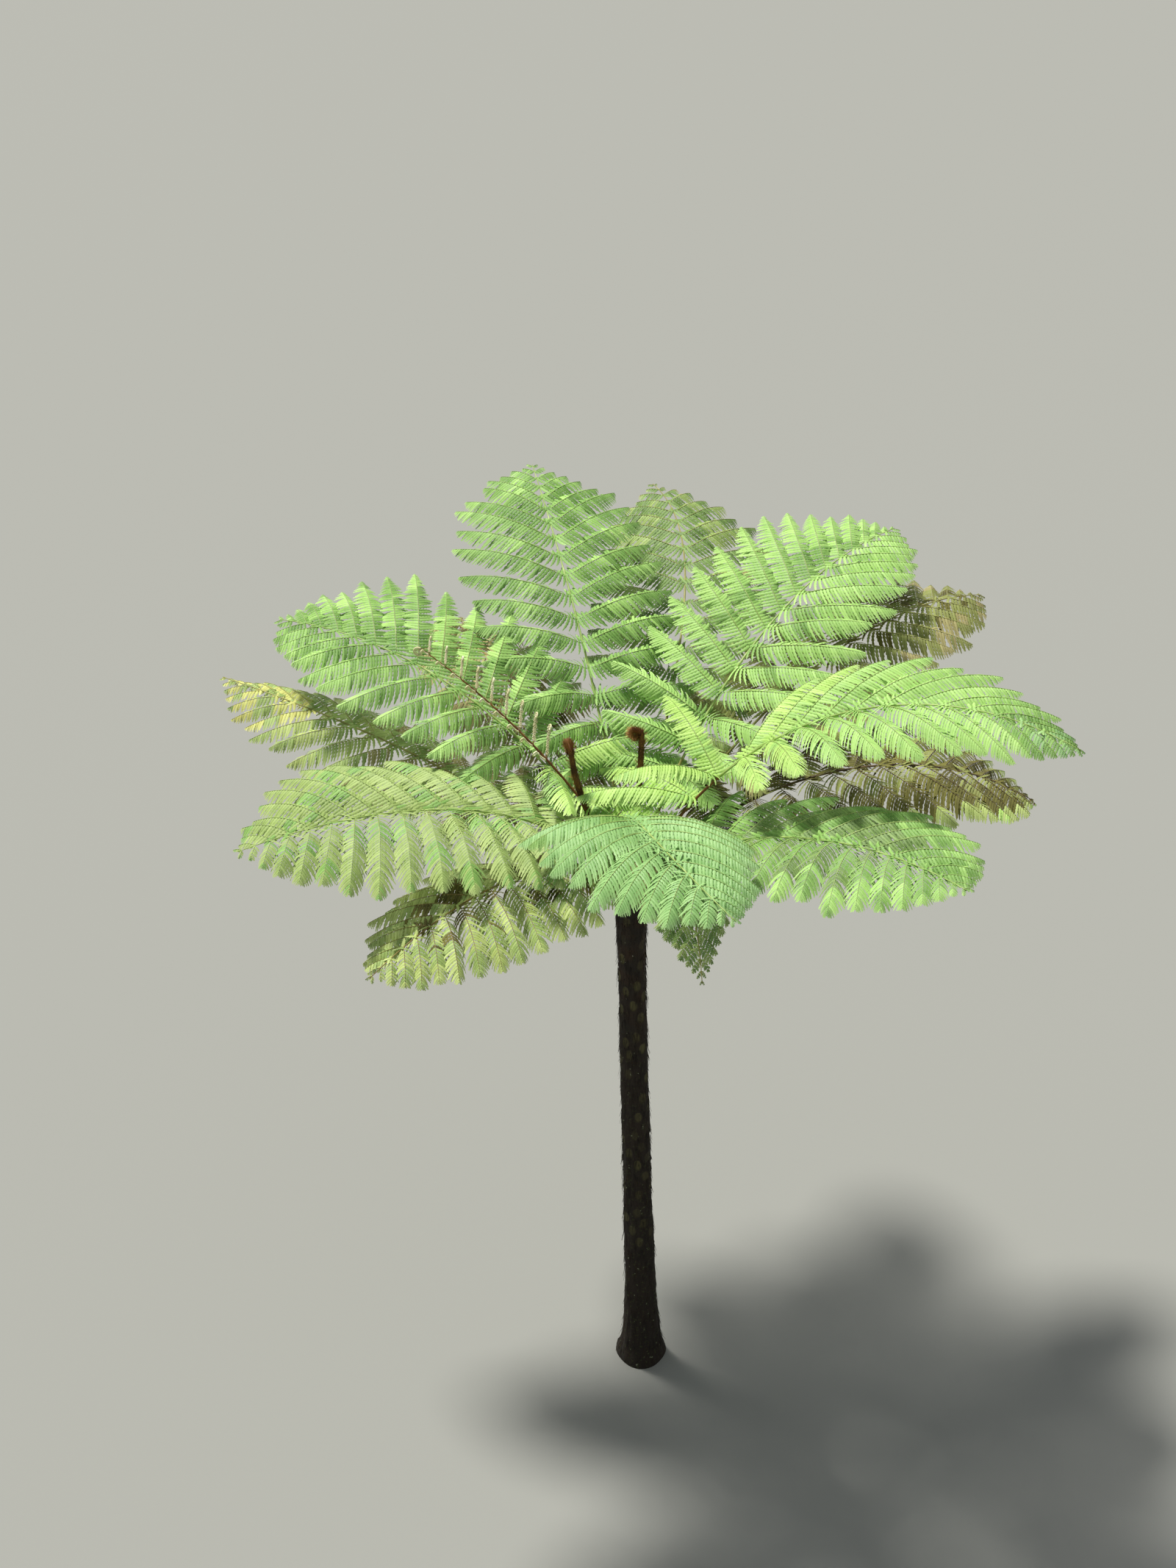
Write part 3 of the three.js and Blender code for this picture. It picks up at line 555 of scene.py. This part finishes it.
# the share by which a frond has dried, which makes its leaves narrower and less orderly
DRYNESS = {"old_right": 0.15, "old_front_left": 0.12, "old_back_left": 0.2, "old_back_right": 0.05,
           "old_left": 0.08, "old_front_right": 0.05}
total = 0
for frond in FRONDS:
    name = frond["name"]
    dryness = DRYNESS.get(name, 0)
    grown = [small_leaves(frond, row, dryness) for row in LEAFLETS[name]]
    rows = {key: np.concatenate([leaf[key] for leaf in grown]) for key in grown[0]}
    tint = tint_of(name, rows)
    large = rows["size"] > LARGE_LEAF
    parts = []
    for chosen, template in ((large, FULL_LEAF), (~large, TINY_LEAF)):
        points, faces, blade = leaf_mesh({key: value[chosen] for key, value in rows.items()}, template)
        parts.append((points, faces, blade, np.repeat(tint[chosen], len(template[1]))))
    points, faces = join([part[:2] for part in parts])
    used = sorted(set(tint))
    leaves = piece(f"frond_{name}_leaves", points, faces, [LEAF[NAMES[index]] for index in used],
                   np.searchsorted(used, np.concatenate([part[3] for part in parts])),
                   np.concatenate([part[2] for part in parts]))
    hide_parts(f"frond_{name}")
    total += len(faces)
    print(name, len(rows["size"]), "small leaves,", len(faces), "faces")
print("faces of all small leaves:", total)

# %% [markdown]
# ## Ribs
# Under the leaves a frond is held by its midrib and one rib in each leaflet, straw-coloured to green brown
# and a little hairy. Round stems along a path are enough, thick where they start and thin at their tips. The
# finish is a wood-like stem skin: fine lengthwise streaks and a satin surface.

# %% Stem finish
def stem_finish(name, colour, light, dark, roughness, grain=(60.0, 60.0, 9.0)):
    material, tree, shader = new_finish(name, roughness)
    place = add(tree, "ShaderNodeTexCoord", {})
    # streaks 6 mm wide and 40 mm long, some four times as coarse as real ones so that they show
    stretch = add(tree, "ShaderNodeMapping", {"Scale": grain}, {"Vector": place.outputs["Object"]})
    streak = add(tree, "ShaderNodeTexNoise", {"Scale": 3.0, "Detail": 4.0}, {"Vector": stretch.outputs[0]})
    # pale patches about 70 mm long, where the skin has caught more light
    patch = add(tree, "ShaderNodeTexNoise", {"Scale": 14.0, "Detail": 3.0},
                {"Vector": place.outputs["Object"]})
    streaked = add(tree, "ShaderNodeMix", {"data_type": "RGBA", 6: dark, 7: colour}, {0: streak.outputs[0]})
    spread = add(tree, "ShaderNodeMapRange", {"From Min": 0.45, "From Max": 0.75},
                 {"Value": patch.outputs[0]})
    patched = add(tree, "ShaderNodeMix", {"data_type": "RGBA", 7: light},
                  {0: spread.outputs[0], 6: streaked.outputs[2]})
    tree.links.new(patched.outputs[2], shader.inputs["Base Color"])
    bump = add(tree, "ShaderNodeBump", {"Strength": 0.5, "Distance": 0.002}, {"Height": streak.outputs[0]})
    tree.links.new(bump.outputs[0], shader.inputs["Normal"])
    return material


print("straw in linear light:", [round(c, 3) for c in linear("#a6a35c")])

# %% [markdown]
# A stem's colour tells its age too: green while it grows, then straw, honey brown, and dark when it has died.
# The newest are red brown, because the hairs that cover a young frond are still on them.

# %% Five kinds of stem
STEM = {
    # living and soft, hardly darker than the leaf
    "green": stem_finish("stem_green_fleshy", "#a4bb68", "#c3d58a", "#7f9a4a", 0.5),
    # full-grown and firm: a clear line of straw through the green
    "straw": stem_finish("stem_straw_green", "#a6a35c", "#bdbb72", "#7d7a3f", 0.5),
    # older: honey brown with a satin skin
    "golden": stem_finish("stem_golden_brown", "#8a7434", "#a9964c", "#5f4a22", 0.5),
    # the newest ones, still under their red-brown hairs
    "red": stem_finish("stem_red_brown", "#824c24", "#a2703a", "#4f2a16", 0.5),
    # dead: dark and matt
    "brown": stem_finish("stem_dark_brown", "#5b4428", "#7d6540", "#33261a", 0.7),
}
MIDRIB_OF = {"right": "red", "old_back": "straw", "old_back_right": "straw", "old_right": "golden",
             "old_front_right": "straw", "old_front_left": "golden", "old_left": "straw",
             "old_back_left": "golden"}
RIB_OF = {"old_back": "straw", "old_back_right": "straw", "old_right": "brown", "old_front_right": "straw",
          "old_front_left": "golden", "old_left": "straw", "old_back_left": "golden"}
STALK_OF = {**{frond["name"]: "straw" for frond in FRONDS}, **MIDRIB_OF, "left": "red", "young": "red"}
print(len(STEM), "stem finishes")

# %% [markdown]
# A midrib is drawn in two lengths, because only the lower one, among the folded leaflets, shows its own
# colour. Further out it is as green as the ribs of the leaflets.

# %% Ribs of the fronds
SHOWING = 0.28
total = 0
for frond in FRONDS:
    name = frond["name"]
    lower = np.linspace(frond["bare"], SHOWING, 12)
    upper = np.linspace(SHOWING, 1, 60)
    way = math.radians(frond["azimuth"])
    forward = -np.array([[math.cos(way), math.sin(way), 0]])
    parts = [tubes(along(ROUTES[name], shares)[0][None], midrib_radius(frond, shares)[None],
                   forward, 8) for shares in (lower, upper)]
    rib_shares = np.linspace(0, 0.985, 12)
    paths = np.stack([along(row["rib"], rib_shares)[0] for row in LEAFLETS[name]])
    lengths = np.array([row["length"] for row in LEAFLETS[name]])
    radii = (0.0004 + 0.0023 * (lengths / 0.6))[:, None] * (1 - rib_shares) ** 0.7 + 0.0004
    parts.append(tubes(paths, radii, np.stack([row["over"] for row in LEAFLETS[name]]), 4))
    points, faces = join(parts)
    finishes = [STEM[MIDRIB_OF.get(name, "straw")], STEM[RIB_OF.get(name, "green")]]
    ribs = piece(f"frond_{name}_ribs", points, faces, finishes,
                 np.arange(len(faces)) >= len(parts[0][1]))
    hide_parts(f"frond_{name}")
    total += len(faces)
print("faces of all ribs:", total)

# %% [markdown]
# ## Bare stalks
# Below its first leaflets a frond is a bare stalk, as thick as two fingers at the foot, a little knotty,
# straw-coloured to red brown. It could be a tube from arrays as well, but there are only fifteen, so each is
# drawn as a curve with a round bevel and a radius at every point, and then made a mesh.

# %% Stalks
def draw_stem(name, points, radii, finish):
    curve = bpy.data.curves.new(name, "CURVE")
    curve.dimensions = "3D"
    curve.bevel_depth = 1.0
    curve.bevel_resolution = 4
    curve.use_fill_caps = True
    line = curve.splines.new("POLY")
    line.points.add(len(points) - 1)
    line.points.foreach_set("co", np.hstack([points, np.ones((len(points), 1))]).ravel())
    line.points.foreach_set("radius", radii)
    made = bpy.data.objects.new(name, curve)
    bpy.context.collection.objects.link(made)
    bpy.ops.object.select_all(action="DESELECT")
    made.select_set(True)
    bpy.context.view_layer.objects.active = made
    bpy.ops.object.convert(target="MESH")
    made = bpy.context.object
    made.data.name = name
    made.data.materials.clear()
    made.data.materials.append(finish)
    made.data.shade_smooth()
    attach(made, "root")
    return made


for frond in [*FRONDS, YOUNG]:
    name = frond["name"]
    shares = np.linspace(0, frond["bare"] + 0.001, 26)
    points, _ = along(ROUTES[name], shares)
    radii = midrib_radius(frond, shares) * (1 + 0.03 * np.sin(np.arange(26) * 2.1 + frond["azimuth"]))
    stalk = draw_stem(f"stalk_{name}_stem", points, radii, STEM[STALK_OF[name]])
    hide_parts(f"stalk_{name}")
print("a stalk has", len(stalk.data.polygons), "faces")

# %% [markdown]
# ## Papery scales
# The foot of every stalk and the rolled young tips are covered with thin, dry, red-brown scales that stand
# off like wood shavings. Hair particles would be quick but the export drops them, so each scale is a narrow
# folded strip of four triangles, all joined in one mesh.

# %% Scales
SCALE_FINISH = stem_finish("scale_dry_papery", "#8f5a2c", "#b98a4c", "#5a3018", 0.75)
STRIP = (np.array([(0, 0), (0.3, 1), (0.3, -1), (0.65, 0.8), (0.65, -0.8), (1, 0)], float),
         np.array([(0, 2, 1), (1, 2, 3), (3, 2, 4), (3, 4, 5)]))


def strips(path, radii, count, length, half, spread, rng, from_share=0.0, to_share=1.0):
    """Narrow strips on a round stem, standing off by spread (degrees) and pointing up the stem."""
    share = rng.uniform(from_share, to_share, count)
    point, heading = along(path, share)
    level = unit(np.cross(heading, UP + 1e-3))
    turn = rng.uniform(0, 2 * np.pi, count)[:, None]
    outward = level * np.cos(turn) + np.cross(heading, level) * np.sin(turn)
    radius = np.interp(share, np.linspace(0, 1, len(radii)), radii)
    lean = np.radians(spread * rng.uniform(0.3, 1.3, count))[:, None]
    start = heading * np.cos(lean) + outward * np.sin(lean)
    rows = {"base": point + outward * (radius * 0.97)[:, None], "start": start,
            "normal": unit(outward * np.cos(lean) - heading * np.sin(lean)), "heading": outward,
            "size": length * rng.uniform(0.6, 1.2, count), "half": np.full(count, half),
            "hang": rng.normal(0, 0.1, count), "number": np.zeros(count)}
    points, faces, _ = leaf_mesh(rows, STRIP, hooked=0.25, fold=0.5)
    return points, faces


rng = np.random.default_rng(7)
parts = []
for frond in [*FRONDS, YOUNG]:
    shares = np.linspace(0, frond["bare"], 20)
    path, _ = along(ROUTES[frond["name"]], shares)
    parts.append(strips(path, midrib_radius(frond, shares), 150, 0.030, 0.0016, 32, rng, 0.0, 0.45))
    parts.append(strips(path, midrib_radius(frond, shares), 30, 0.018, 0.001, 35, rng, 0.3, 1.0))
points, faces = join(parts)
scales = piece("stalk_scales", points, faces, [SCALE_FINISH])
print("stalk scales:", len(faces) // 4)

# %% [markdown]
# ## The rolled young tips
# A new frond comes up as a thick scaly stalk with its whole blade rolled up in the head, like the scroll of a
# violin. A spiral curve follows the solid's rule and goes on for another turn inside. Over it lie scales, far
# denser than on the stalks.

# %% Curled tips
CURLED_TIPS = (("left", 190, 57, 86, 0.86, 1), ("back", 70, 74, 88, 0.78, -1))
SCALY_FINISH = stem_finish("stem_under_scales", "#5d3219", "#8a5a2e", "#2f190e", 0.8)


def curled_path(azimuth, leave, arrive, length, turn):
    way = math.radians(azimuth)
    out = np.array([math.cos(way), math.sin(way), 0])
    sideways = np.cross(out, UP) * turn
    point = trunk_axis(HUB_HEIGHT) + out * FOOT_RADIUS / 2
    points, radii = [], []
    for step in range(30):
        share = step / 30
        slope = math.radians(leave + (arrive - leave) * math.floor(share * 6) / 6)
        rising = out * math.cos(slope) + UP * math.sin(slope)
        points.append(point)
        radii.append(0.020 - 0.005 * share)
        point = point + rising * length / 30
    centre = point + sideways * 0.035
    for step in range(61):
        share = step / 60
        angle = 2 * math.pi * 1.35 * share
        away = 0.035 * (1 - 0.9 * share)
        points.append(centre + away * (rising * math.sin(angle) - sideways * math.cos(angle)))
        radii.append(0.015 * (1 - 0.7 * share))
    return np.array(points), np.array(radii)


for name, *terms in CURLED_TIPS:
    path, radii = curled_path(*terms)
    tip = draw_stem(f"curled_tip_{name}_scroll", path, radii, SCALY_FINISH)
    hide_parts(f"curled_tip_{name}")
    parts = [strips(path, radii, 1500, 0.024, 0.0015, 24, rng, 0.12, 0.86),
             strips(path, radii, 500, 0.03, 0.0012, 50, rng, 0.25, 0.7)]
    points, faces = join(parts)
    piece(f"curled_tip_{name}_scales", points, faces, [SCALE_FINISH])
    print("curled tip", name, "has", len(faces) // 4, "scales")

# %% [markdown]
# ## The frond that is still unrolling
# Its midrib is already out, dark red brown. Its leaflets stand up as short stems set with tiny cream coils.
# Each coil is a thin stem along a spiral. There are some twenty on every side stem, in pairs, and a larger
# one at its end. They are repeated hundreds of times, so a small one is eight rings of four points.

# %% Coils
YOUNG_PAIRS = 9
COILS_FROM = 0.42
COIL_PAIRS = 11
COIL_FINISH = stem_finish("coil_cream_woolly", "#e9e4bd", "#faf7de", "#c4bb82", 0.85, (90.0, 90.0, 90.0))


def spiral(base, heading, turn_about, radius, thickness, turns, steps, sides):
    """A closed stem that leaves base along heading and rolls up about turn_about."""
    sideways = np.cross(heading, turn_about)
    share = np.linspace(0, 1, steps)[:, None]
    angle = 2 * np.pi * turns * share
    away = radius * (1 - 0.85 * share)
    path = base + sideways * radius + away * (heading * np.sin(angle) - sideways * np.cos(angle))
    return tubes(path[None], thickness * (1 - 0.6 * share.T), turn_about[None], sides)


def side_stem(point, direction, side, shrink, number):
    """One leaflet of the young frond: its stem, and the coils at its end and along it."""
    across = unit(np.cross(direction, UP)) * side
    start = unit(across + direction * 0.35 + UP * 0.45)
    reach = np.linspace(0, 1, 12)[:, None]
    bent = point + 0.16 * shrink * (reach * start + 0.25 * reach ** 2 * (UP - direction * 0.4))
    stem = tubes(bent[None], (0.0032 - 0.0014 * reach.T) * shrink, direction[None], 6)
    rolled = [spiral(bent[-1], unit(bent[-1] - bent[-2]), direction, 0.02 * shrink, 0.0055, 1.6, 26, 6)]
    for row in range(COIL_PAIRS):
        base, heading = along(bent, 0.16 + 0.078 * row)
        radius = 0.0095 * shrink * (1 + 0.2 * chance(number, row))
        for hand in (1, -1):
            outward = unit(direction * hand + heading * 0.7 + across * 0.2 * chance(row, number))
            turn_about = unit(np.cross(heading, outward))
            rolled.append(spiral(base, outward, turn_about, radius, 0.0042, 1.2, 8, 4))
    return stem, rolled


print("coil finish:", COIL_FINISH.name)

# %% [markdown]
# The midrib carries nine pairs of these, smaller and smaller, and ends in a coil of its own. Stems, coils and
# scales are three pieces, because each has its own finish.

# %% The young frond
shares = np.linspace(YOUNG["bare"], 1, 60)
middle, _ = along(ROUTES["young"], shares)
way = math.radians(YOUNG["azimuth"])
forward = np.array([[math.cos(way), math.sin(way), 0]])
stems = [tubes(middle[None], midrib_radius(YOUNG, shares)[None], forward, 8)]
coils = []
for number in range(YOUNG_PAIRS):
    place = COILS_FROM + (1 - COILS_FROM) * (number + 0.5) / YOUNG_PAIRS
    point, direction = along(ROUTES["young"], place)
    for side in (1, -1):
        stem, rolled = side_stem(point, direction, side, 1 - 0.55 * number / YOUNG_PAIRS, number)
        stems.append(stem)
        coils += rolled
point, direction = along(ROUTES["young"], 1.0)
coils.append(spiral(point, direction, unit(np.cross(direction, UP)), 0.028, 0.0055, 2.2, 50, 8))
points, faces = join(stems)
young = piece("frond_young_stems", points, faces, [STEM["red"]])
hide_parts("frond_young")
points, faces = join(coils)
young = piece("frond_young_coils", points, faces, [COIL_FINISH])
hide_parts("frond_young")
parts = [strips(middle, midrib_radius(YOUNG, shares), 500, 0.02, 0.001, 40, rng, 0.0, 1.0)]
points, faces = join(parts)
piece("frond_young_scales", points, faces, [SCALE_FINISH])
print("coils:", len(coils), "with", sum(len(part[1]) for part in coils), "faces")

# %% [markdown]
# ## The trunk
# A tree fern's trunk isn't wood with bark but a stem wrapped in wiry black roots, with the oval scars of old
# fronds showing where the wrap is thin. A grid is added, rolled round the trunk's axis with the solid's own
# radii, and every point is then pushed in or out: root ridges, oval scars with a raised rim, and fibre. Its
# seam is closed by merging the points that meet, and its foot is closed by a flat face.

# %% Trunk relief
TRUNK_RINGS = ((0, 0.150), (0.13, 0.118), (0.42, 0.094), (1.1, 0.082), (2.0, 0.077), (2.9, 0.076),
               (HUB_HEIGHT - 0.24, 0.086), (HUB_HEIGHT - 0.06, 0.096), (HUB_HEIGHT + 0.04, 0.078),
               (HUB_HEIGHT + 0.085, 0.040), (HUB_HEIGHT + 0.1, 0.0))
RING_HEIGHTS = np.array([height for height, _ in TRUNK_RINGS])
RING_RADII = np.array([radius for _, radius in TRUNK_RINGS])
ROWS = 520
COLUMNS = 84


def trunk_radius(angle, height):
    row = np.interp(height, RING_HEIGHTS, np.arange(len(RING_HEIGHTS)))
    return np.interp(height, RING_HEIGHTS, RING_RADII) * (1 + 0.06 * np.sin(3 * angle + row))


def roughness_at(points, scale, depth):
    return np.array([noise.fractal(Vector((x * scale[0], y * scale[1], z * scale[2])), 0.9, 2.1, depth)
                     for x, y, z in points])


bpy.ops.object.select_all(action="DESELECT")
bpy.ops.mesh.primitive_grid_add(x_subdivisions=COLUMNS, y_subdivisions=ROWS, size=1)
trunk = bpy.context.object
trunk.name = trunk.data.name = "trunk_bark"
flat = np.empty(len(trunk.data.vertices) * 3)
trunk.data.vertices.foreach_get("co", flat)
flat = flat.reshape(-1, 3)
angle = 2 * np.pi * (flat[:, 0] + 0.5)
height = np.minimum(RING_HEIGHTS[-1], (flat[:, 1] + 0.5) * RING_HEIGHTS[-1])
radius = trunk_radius(angle, height)
around = np.stack([np.cos(angle), np.sin(angle), np.zeros(len(angle))], axis=1)
axis_points = np.stack([LEAN * height / HUB_HEIGHT, np.zeros(len(height)), height], axis=1)
skin = axis_points + around * radius[:, None]
print("points on the trunk's skin:", len(skin))

# %% [markdown]
# Scars lie along a spiral, as the fronds that left them did, and some are grown over. Each is a shallow oval
# 70 mm tall and 40 mm wide, with a raised rim. Root ridges are drawn out lengthwise, and thicker towards the
# foot. The relief's depths are in metres: 7 mm for ridges, 2 for fibre, 3 for lumps, 4 for a scar's rim.

# %% Scars and ridges
SCARS = 150
SCAR_STEP = 0.0168
GOLDEN_TURN = math.radians(137.5)
scar = np.zeros(len(skin))
rim = np.zeros(len(skin))
rng = np.random.default_rng(21)
for number in range(SCARS):
    middle_height = 0.9 + SCAR_STEP * number
    middle_angle = GOLDEN_TURN * number + 0.15 * chance(number, 2)
    if chance(number, 9) < -0.35 or middle_height > 3.36:
        continue
    away = (angle - middle_angle + math.pi) % (2 * math.pi) - math.pi
    wide = away * 0.08 / 0.021
    tall = (height - middle_height) / 0.034
    reach = np.sqrt(wide ** 2 + tall ** 2)
    strength = 0.55 + 0.45 * chance(number, 4)
    scar = np.maximum(scar, strength * np.clip(1.15 - reach, 0, 0.3) / 0.3)
    rim = np.maximum(rim, strength * np.exp(-((reach - 1.1) / 0.16) ** 2))
ridges = roughness_at(skin, (34, 34, 2.6), 3)
fibre = roughness_at(skin, (130, 130, 16), 2)
lumps = roughness_at(skin, (11, 11, 7), 2)
cover = np.clip(1.35 - height / 2.6, 0.35, 1)
ends = np.clip(height / 0.03, 0, 1) * np.clip((RING_HEIGHTS[-1] - height) / 0.05, 0, 1)
relief = (0.0075 * cover * ridges * (1 - 0.8 * scar) + 0.0022 * fibre * (1 - 0.6 * scar) + 0.003 * lumps
          + 0.0042 * rim - 0.0035 * scar) * ends
skin = axis_points + around * (radius + relief)[:, None]
trunk.data.vertices.foreach_set("co", skin.ravel())
print("relief from", round(relief.min() * 1000, 1), "to", round(relief.max() * 1000, 1), "mm")

# %% [markdown]
# The scars' place is kept as a number at every point, because their pale colour has to sit exactly on them.

# %% Close the trunk
mark = trunk.data.attributes.new("scar", "FLOAT", "POINT")
mark.data.foreach_set("value", scar.astype(np.float32))
bpy.ops.object.mode_set(mode="EDIT")
bpy.ops.mesh.select_all(action="SELECT")
bpy.ops.mesh.remove_doubles(threshold=0.0002)
bpy.ops.mesh.select_all(action="DESELECT")
bpy.ops.mesh.select_non_manifold()
bpy.ops.mesh.edge_face_add()
bpy.ops.mesh.select_all(action="SELECT")
bpy.ops.mesh.normals_make_consistent(inside=False)
bpy.ops.object.mode_set(mode="OBJECT")
trunk.data.shade_smooth()
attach(trunk, "root")
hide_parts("trunk")
print("trunk faces:", len(trunk.data.polygons))

# %% [markdown]
# ## The trunk's skin
# Matted dead roots are almost black with rusty brown where fresh fibre shows, most of all under the crown.
# Their dark is painted darker than their own colour, as shade from the crown above. The scars are pale olive,
# and moss and grey lichen grow in patches. It is dull all over.

# %% Bark finish
material, tree, shader = new_finish("bark_matted_fern_roots", 0.92)
place = add(tree, "ShaderNodeTexCoord", {})
stretch = add(tree, "ShaderNodeMapping", {"Scale": (1.0, 1.0, 0.12)}, {"Vector": place.outputs["Object"]})
# root fibres 6 mm apart, drawn out lengthwise, twice as coarse as real ones so that they show
strands = add(tree, "ShaderNodeTexNoise", {"Scale": 160.0, "Detail": 4.0}, {"Vector": stretch.outputs[0]})
# rust lies in patches a hand wide, moss and lichen in cushions of about 20 mm
patches = add(tree, "ShaderNodeTexNoise", {"Scale": 9.0, "Detail": 5.0}, {"Vector": place.outputs["Object"]})
specks = add(tree, "ShaderNodeTexNoise", {"Scale": 55.0, "Detail": 3.0}, {"Vector": place.outputs["Object"]})
# painted shade: the two root colours are set darker than the roots' own, for the shade that the crown casts
# on the trunk
dark = add(tree, "ShaderNodeMix", {"data_type": "RGBA", 6: "#0d0b08", 7: "#30261a"}, {0: strands.outputs[0]})
height_way = add(tree, "ShaderNodeSeparateXYZ", {}, {0: place.outputs["Object"]})
near_crown = add(tree, "ShaderNodeMapRange", {"From Min": 2.3, "From Max": 3.4, "To Min": 0.1,
                                              "To Max": 0.75}, {"Value": height_way.outputs[2]})
rust_patch = add(tree, "ShaderNodeMapRange", {"From Min": 0.42, "From Max": 0.62},
                 {"Value": patches.outputs[0]})
rust_share = add(tree, "ShaderNodeMath", {"operation": "MULTIPLY"},
                 {0: near_crown.outputs[0], 1: rust_patch.outputs[0]})
rusty = add(tree, "ShaderNodeMix", {"data_type": "RGBA", 7: "#432a15"},
            {0: rust_share.outputs[0], 6: dark.outputs[2]})
print("bark, dark and rusty:", len(tree.nodes), "nodes")

# %% [markdown]
# Over the dark and the rust come moss low down, the pale scars, and specks of lichen.

# %% Moss, scars and lichen
moss_patch = add(tree, "ShaderNodeMapRange", {"From Min": 0.56, "From Max": 0.68, "To Max": 0.6},
                 {"Value": specks.outputs[0]})
low_down = add(tree, "ShaderNodeMapRange", {"From Min": 3.0, "From Max": 1.0, "To Min": 0.15},
               {"Value": height_way.outputs[2]})
moss_share = add(tree, "ShaderNodeMath", {"operation": "MULTIPLY"},
                 {0: moss_patch.outputs[0], 1: low_down.outputs[0]})
mossy = add(tree, "ShaderNodeMix", {"data_type": "RGBA", 7: "#434a24"},
            {0: moss_share.outputs[0], 6: rusty.outputs[2]})
scars = add(tree, "ShaderNodeAttribute", {"attribute_name": "scar"})
scar_share = add(tree, "ShaderNodeMath", {"operation": "MULTIPLY"},
                 {0: scars.outputs["Fac"], 1: strands.outputs[0]})
scarred = add(tree, "ShaderNodeMix", {"data_type": "RGBA", 7: "#6e6a40"},
              {0: scar_share.outputs[0], 6: mossy.outputs[2]})
lichen = add(tree, "ShaderNodeMapRange", {"From Min": 0.7, "From Max": 0.74, "To Max": 0.7},
             {"Value": specks.outputs[0]})
lichened = add(tree, "ShaderNodeMix", {"data_type": "RGBA", 7: "#a3a694"},
               {0: lichen.outputs[0], 6: scarred.outputs[2]})
tree.links.new(lichened.outputs[2], shader.inputs["Base Color"])
bump = add(tree, "ShaderNodeBump", {"Strength": 0.9, "Distance": 0.004}, {"Height": strands.outputs[0]})
tree.links.new(bump.outputs[0], shader.inputs["Normal"])
trunk.data.materials.clear()
trunk.data.materials.append(material)
print("bark finish:", material.name)

# %% [markdown]
# ## Loose roots on the trunk
# What makes the real trunk's outline rough are thousands of wiry roots that hang off it. Fifteen hundred thin
# stems show the same. Each starts on the skin, runs down, and stands off at its end.

# %% Hanging roots
ROOT_FINISH = stem_finish("root_dry_wiry", "#241b12", "#46311b", "#100c08", 0.85)
rng = np.random.default_rng(33)
count = 1500
heights = 0.05 + 3.35 * rng.random(count) ** 0.9
angles = rng.uniform(0, 2 * np.pi, count)
lengths = rng.uniform(0.03, 0.1, count)
lengths = np.minimum(lengths, heights - 0.01)
steps = np.linspace(0, 1, 5)
height = heights[:, None] - lengths[:, None] * steps
angle = angles[:, None] + rng.normal(0, 0.12, count)[:, None] * steps
stand = rng.uniform(0.002, 0.016, count)[:, None] * steps ** 1.5
radius = trunk_radius(angle, height) + 0.001 + stand
paths = np.stack([radius * np.cos(angle), radius * np.sin(angle), height], axis=-1)
paths[:, :, 0] += LEAN * height / HUB_HEIGHT
reference = np.stack([np.cos(angles), np.sin(angles), np.zeros(count)], axis=1)
thick = rng.uniform(0.0008, 0.0018, count)[:, None] * (1 - 0.6 * steps)
points, faces = tubes(paths, thick, reference, 3)
piece("trunk_roots", points, faces, [ROOT_FINISH])
print("hanging roots:", count, "with", len(faces), "faces")

# %% [markdown]
# ## Floor and light
# The fern is shown on a plain pale floor. A pale sky fills in softly, and a sun high above gives the dark
# undersides that the photograph shows. A lamp near by would do too, but its light would fade across a crown
# that is nearly five metres wide.

# %% Floor and light
bpy.ops.object.select_all(action="DESELECT")
bpy.ops.mesh.primitive_plane_add(size=160)
floor = bpy.context.object
floor.name = "floor"
material, tree, shader = new_finish("floor_pale_matt", 0.95)
shader.inputs["Base Color"].default_value = linear("#949591")
floor.data.materials.append(material)

world = bpy.data.worlds.new("studio")
bpy.context.scene.world = world
world.use_nodes = True
world.node_tree.nodes["Background"].inputs["Color"].default_value = linear("#e9eef2")
world.node_tree.nodes["Background"].inputs["Strength"].default_value = 0.38

sun = bpy.data.objects.new("key", bpy.data.lights.new("key", "SUN"))
sun.data.energy = 4.45
sun.data.angle = math.radians(9)
sun.data.color = (1.0, 0.97, 0.9)
sun.rotation_euler = (math.radians(-14), math.radians(-18), 0)
bpy.context.collection.objects.link(sun)
print("the sun's strength is", round(sun.data.energy, 2))

# %% [markdown]
# ## Camera
# It looks down by 32 degrees. The crown's rim is seen as an ellipse, and its height against its width gives
# that angle. The lens is long enough that a picture 2133 pixels high is like one taken from 4000 pixels away.

# %% Camera
PICTURE_HEIGHT = 2133
FOCAL_PIXELS = 4000
camera = bpy.data.objects.new("camera", bpy.data.cameras.new("camera"))
camera.data.sensor_width = 36.0
camera.data.lens = camera.data.sensor_width * FOCAL_PIXELS / PICTURE_HEIGHT
camera.data.clip_end = 400.0
camera.location = (-0.322, -13.318, 12.381)
camera.rotation_euler = (math.radians(58), 0, 0)
bpy.context.collection.objects.link(camera)
bpy.context.scene.camera = camera
bpy.context.scene.view_settings.view_transform = "Standard"
print("camera at", [round(v, 2) for v in camera.location])

# %% [markdown]
# ## Last step
# Last, the scene is brought up to date.

# %% Update the scene
bpy.context.view_layer.update()
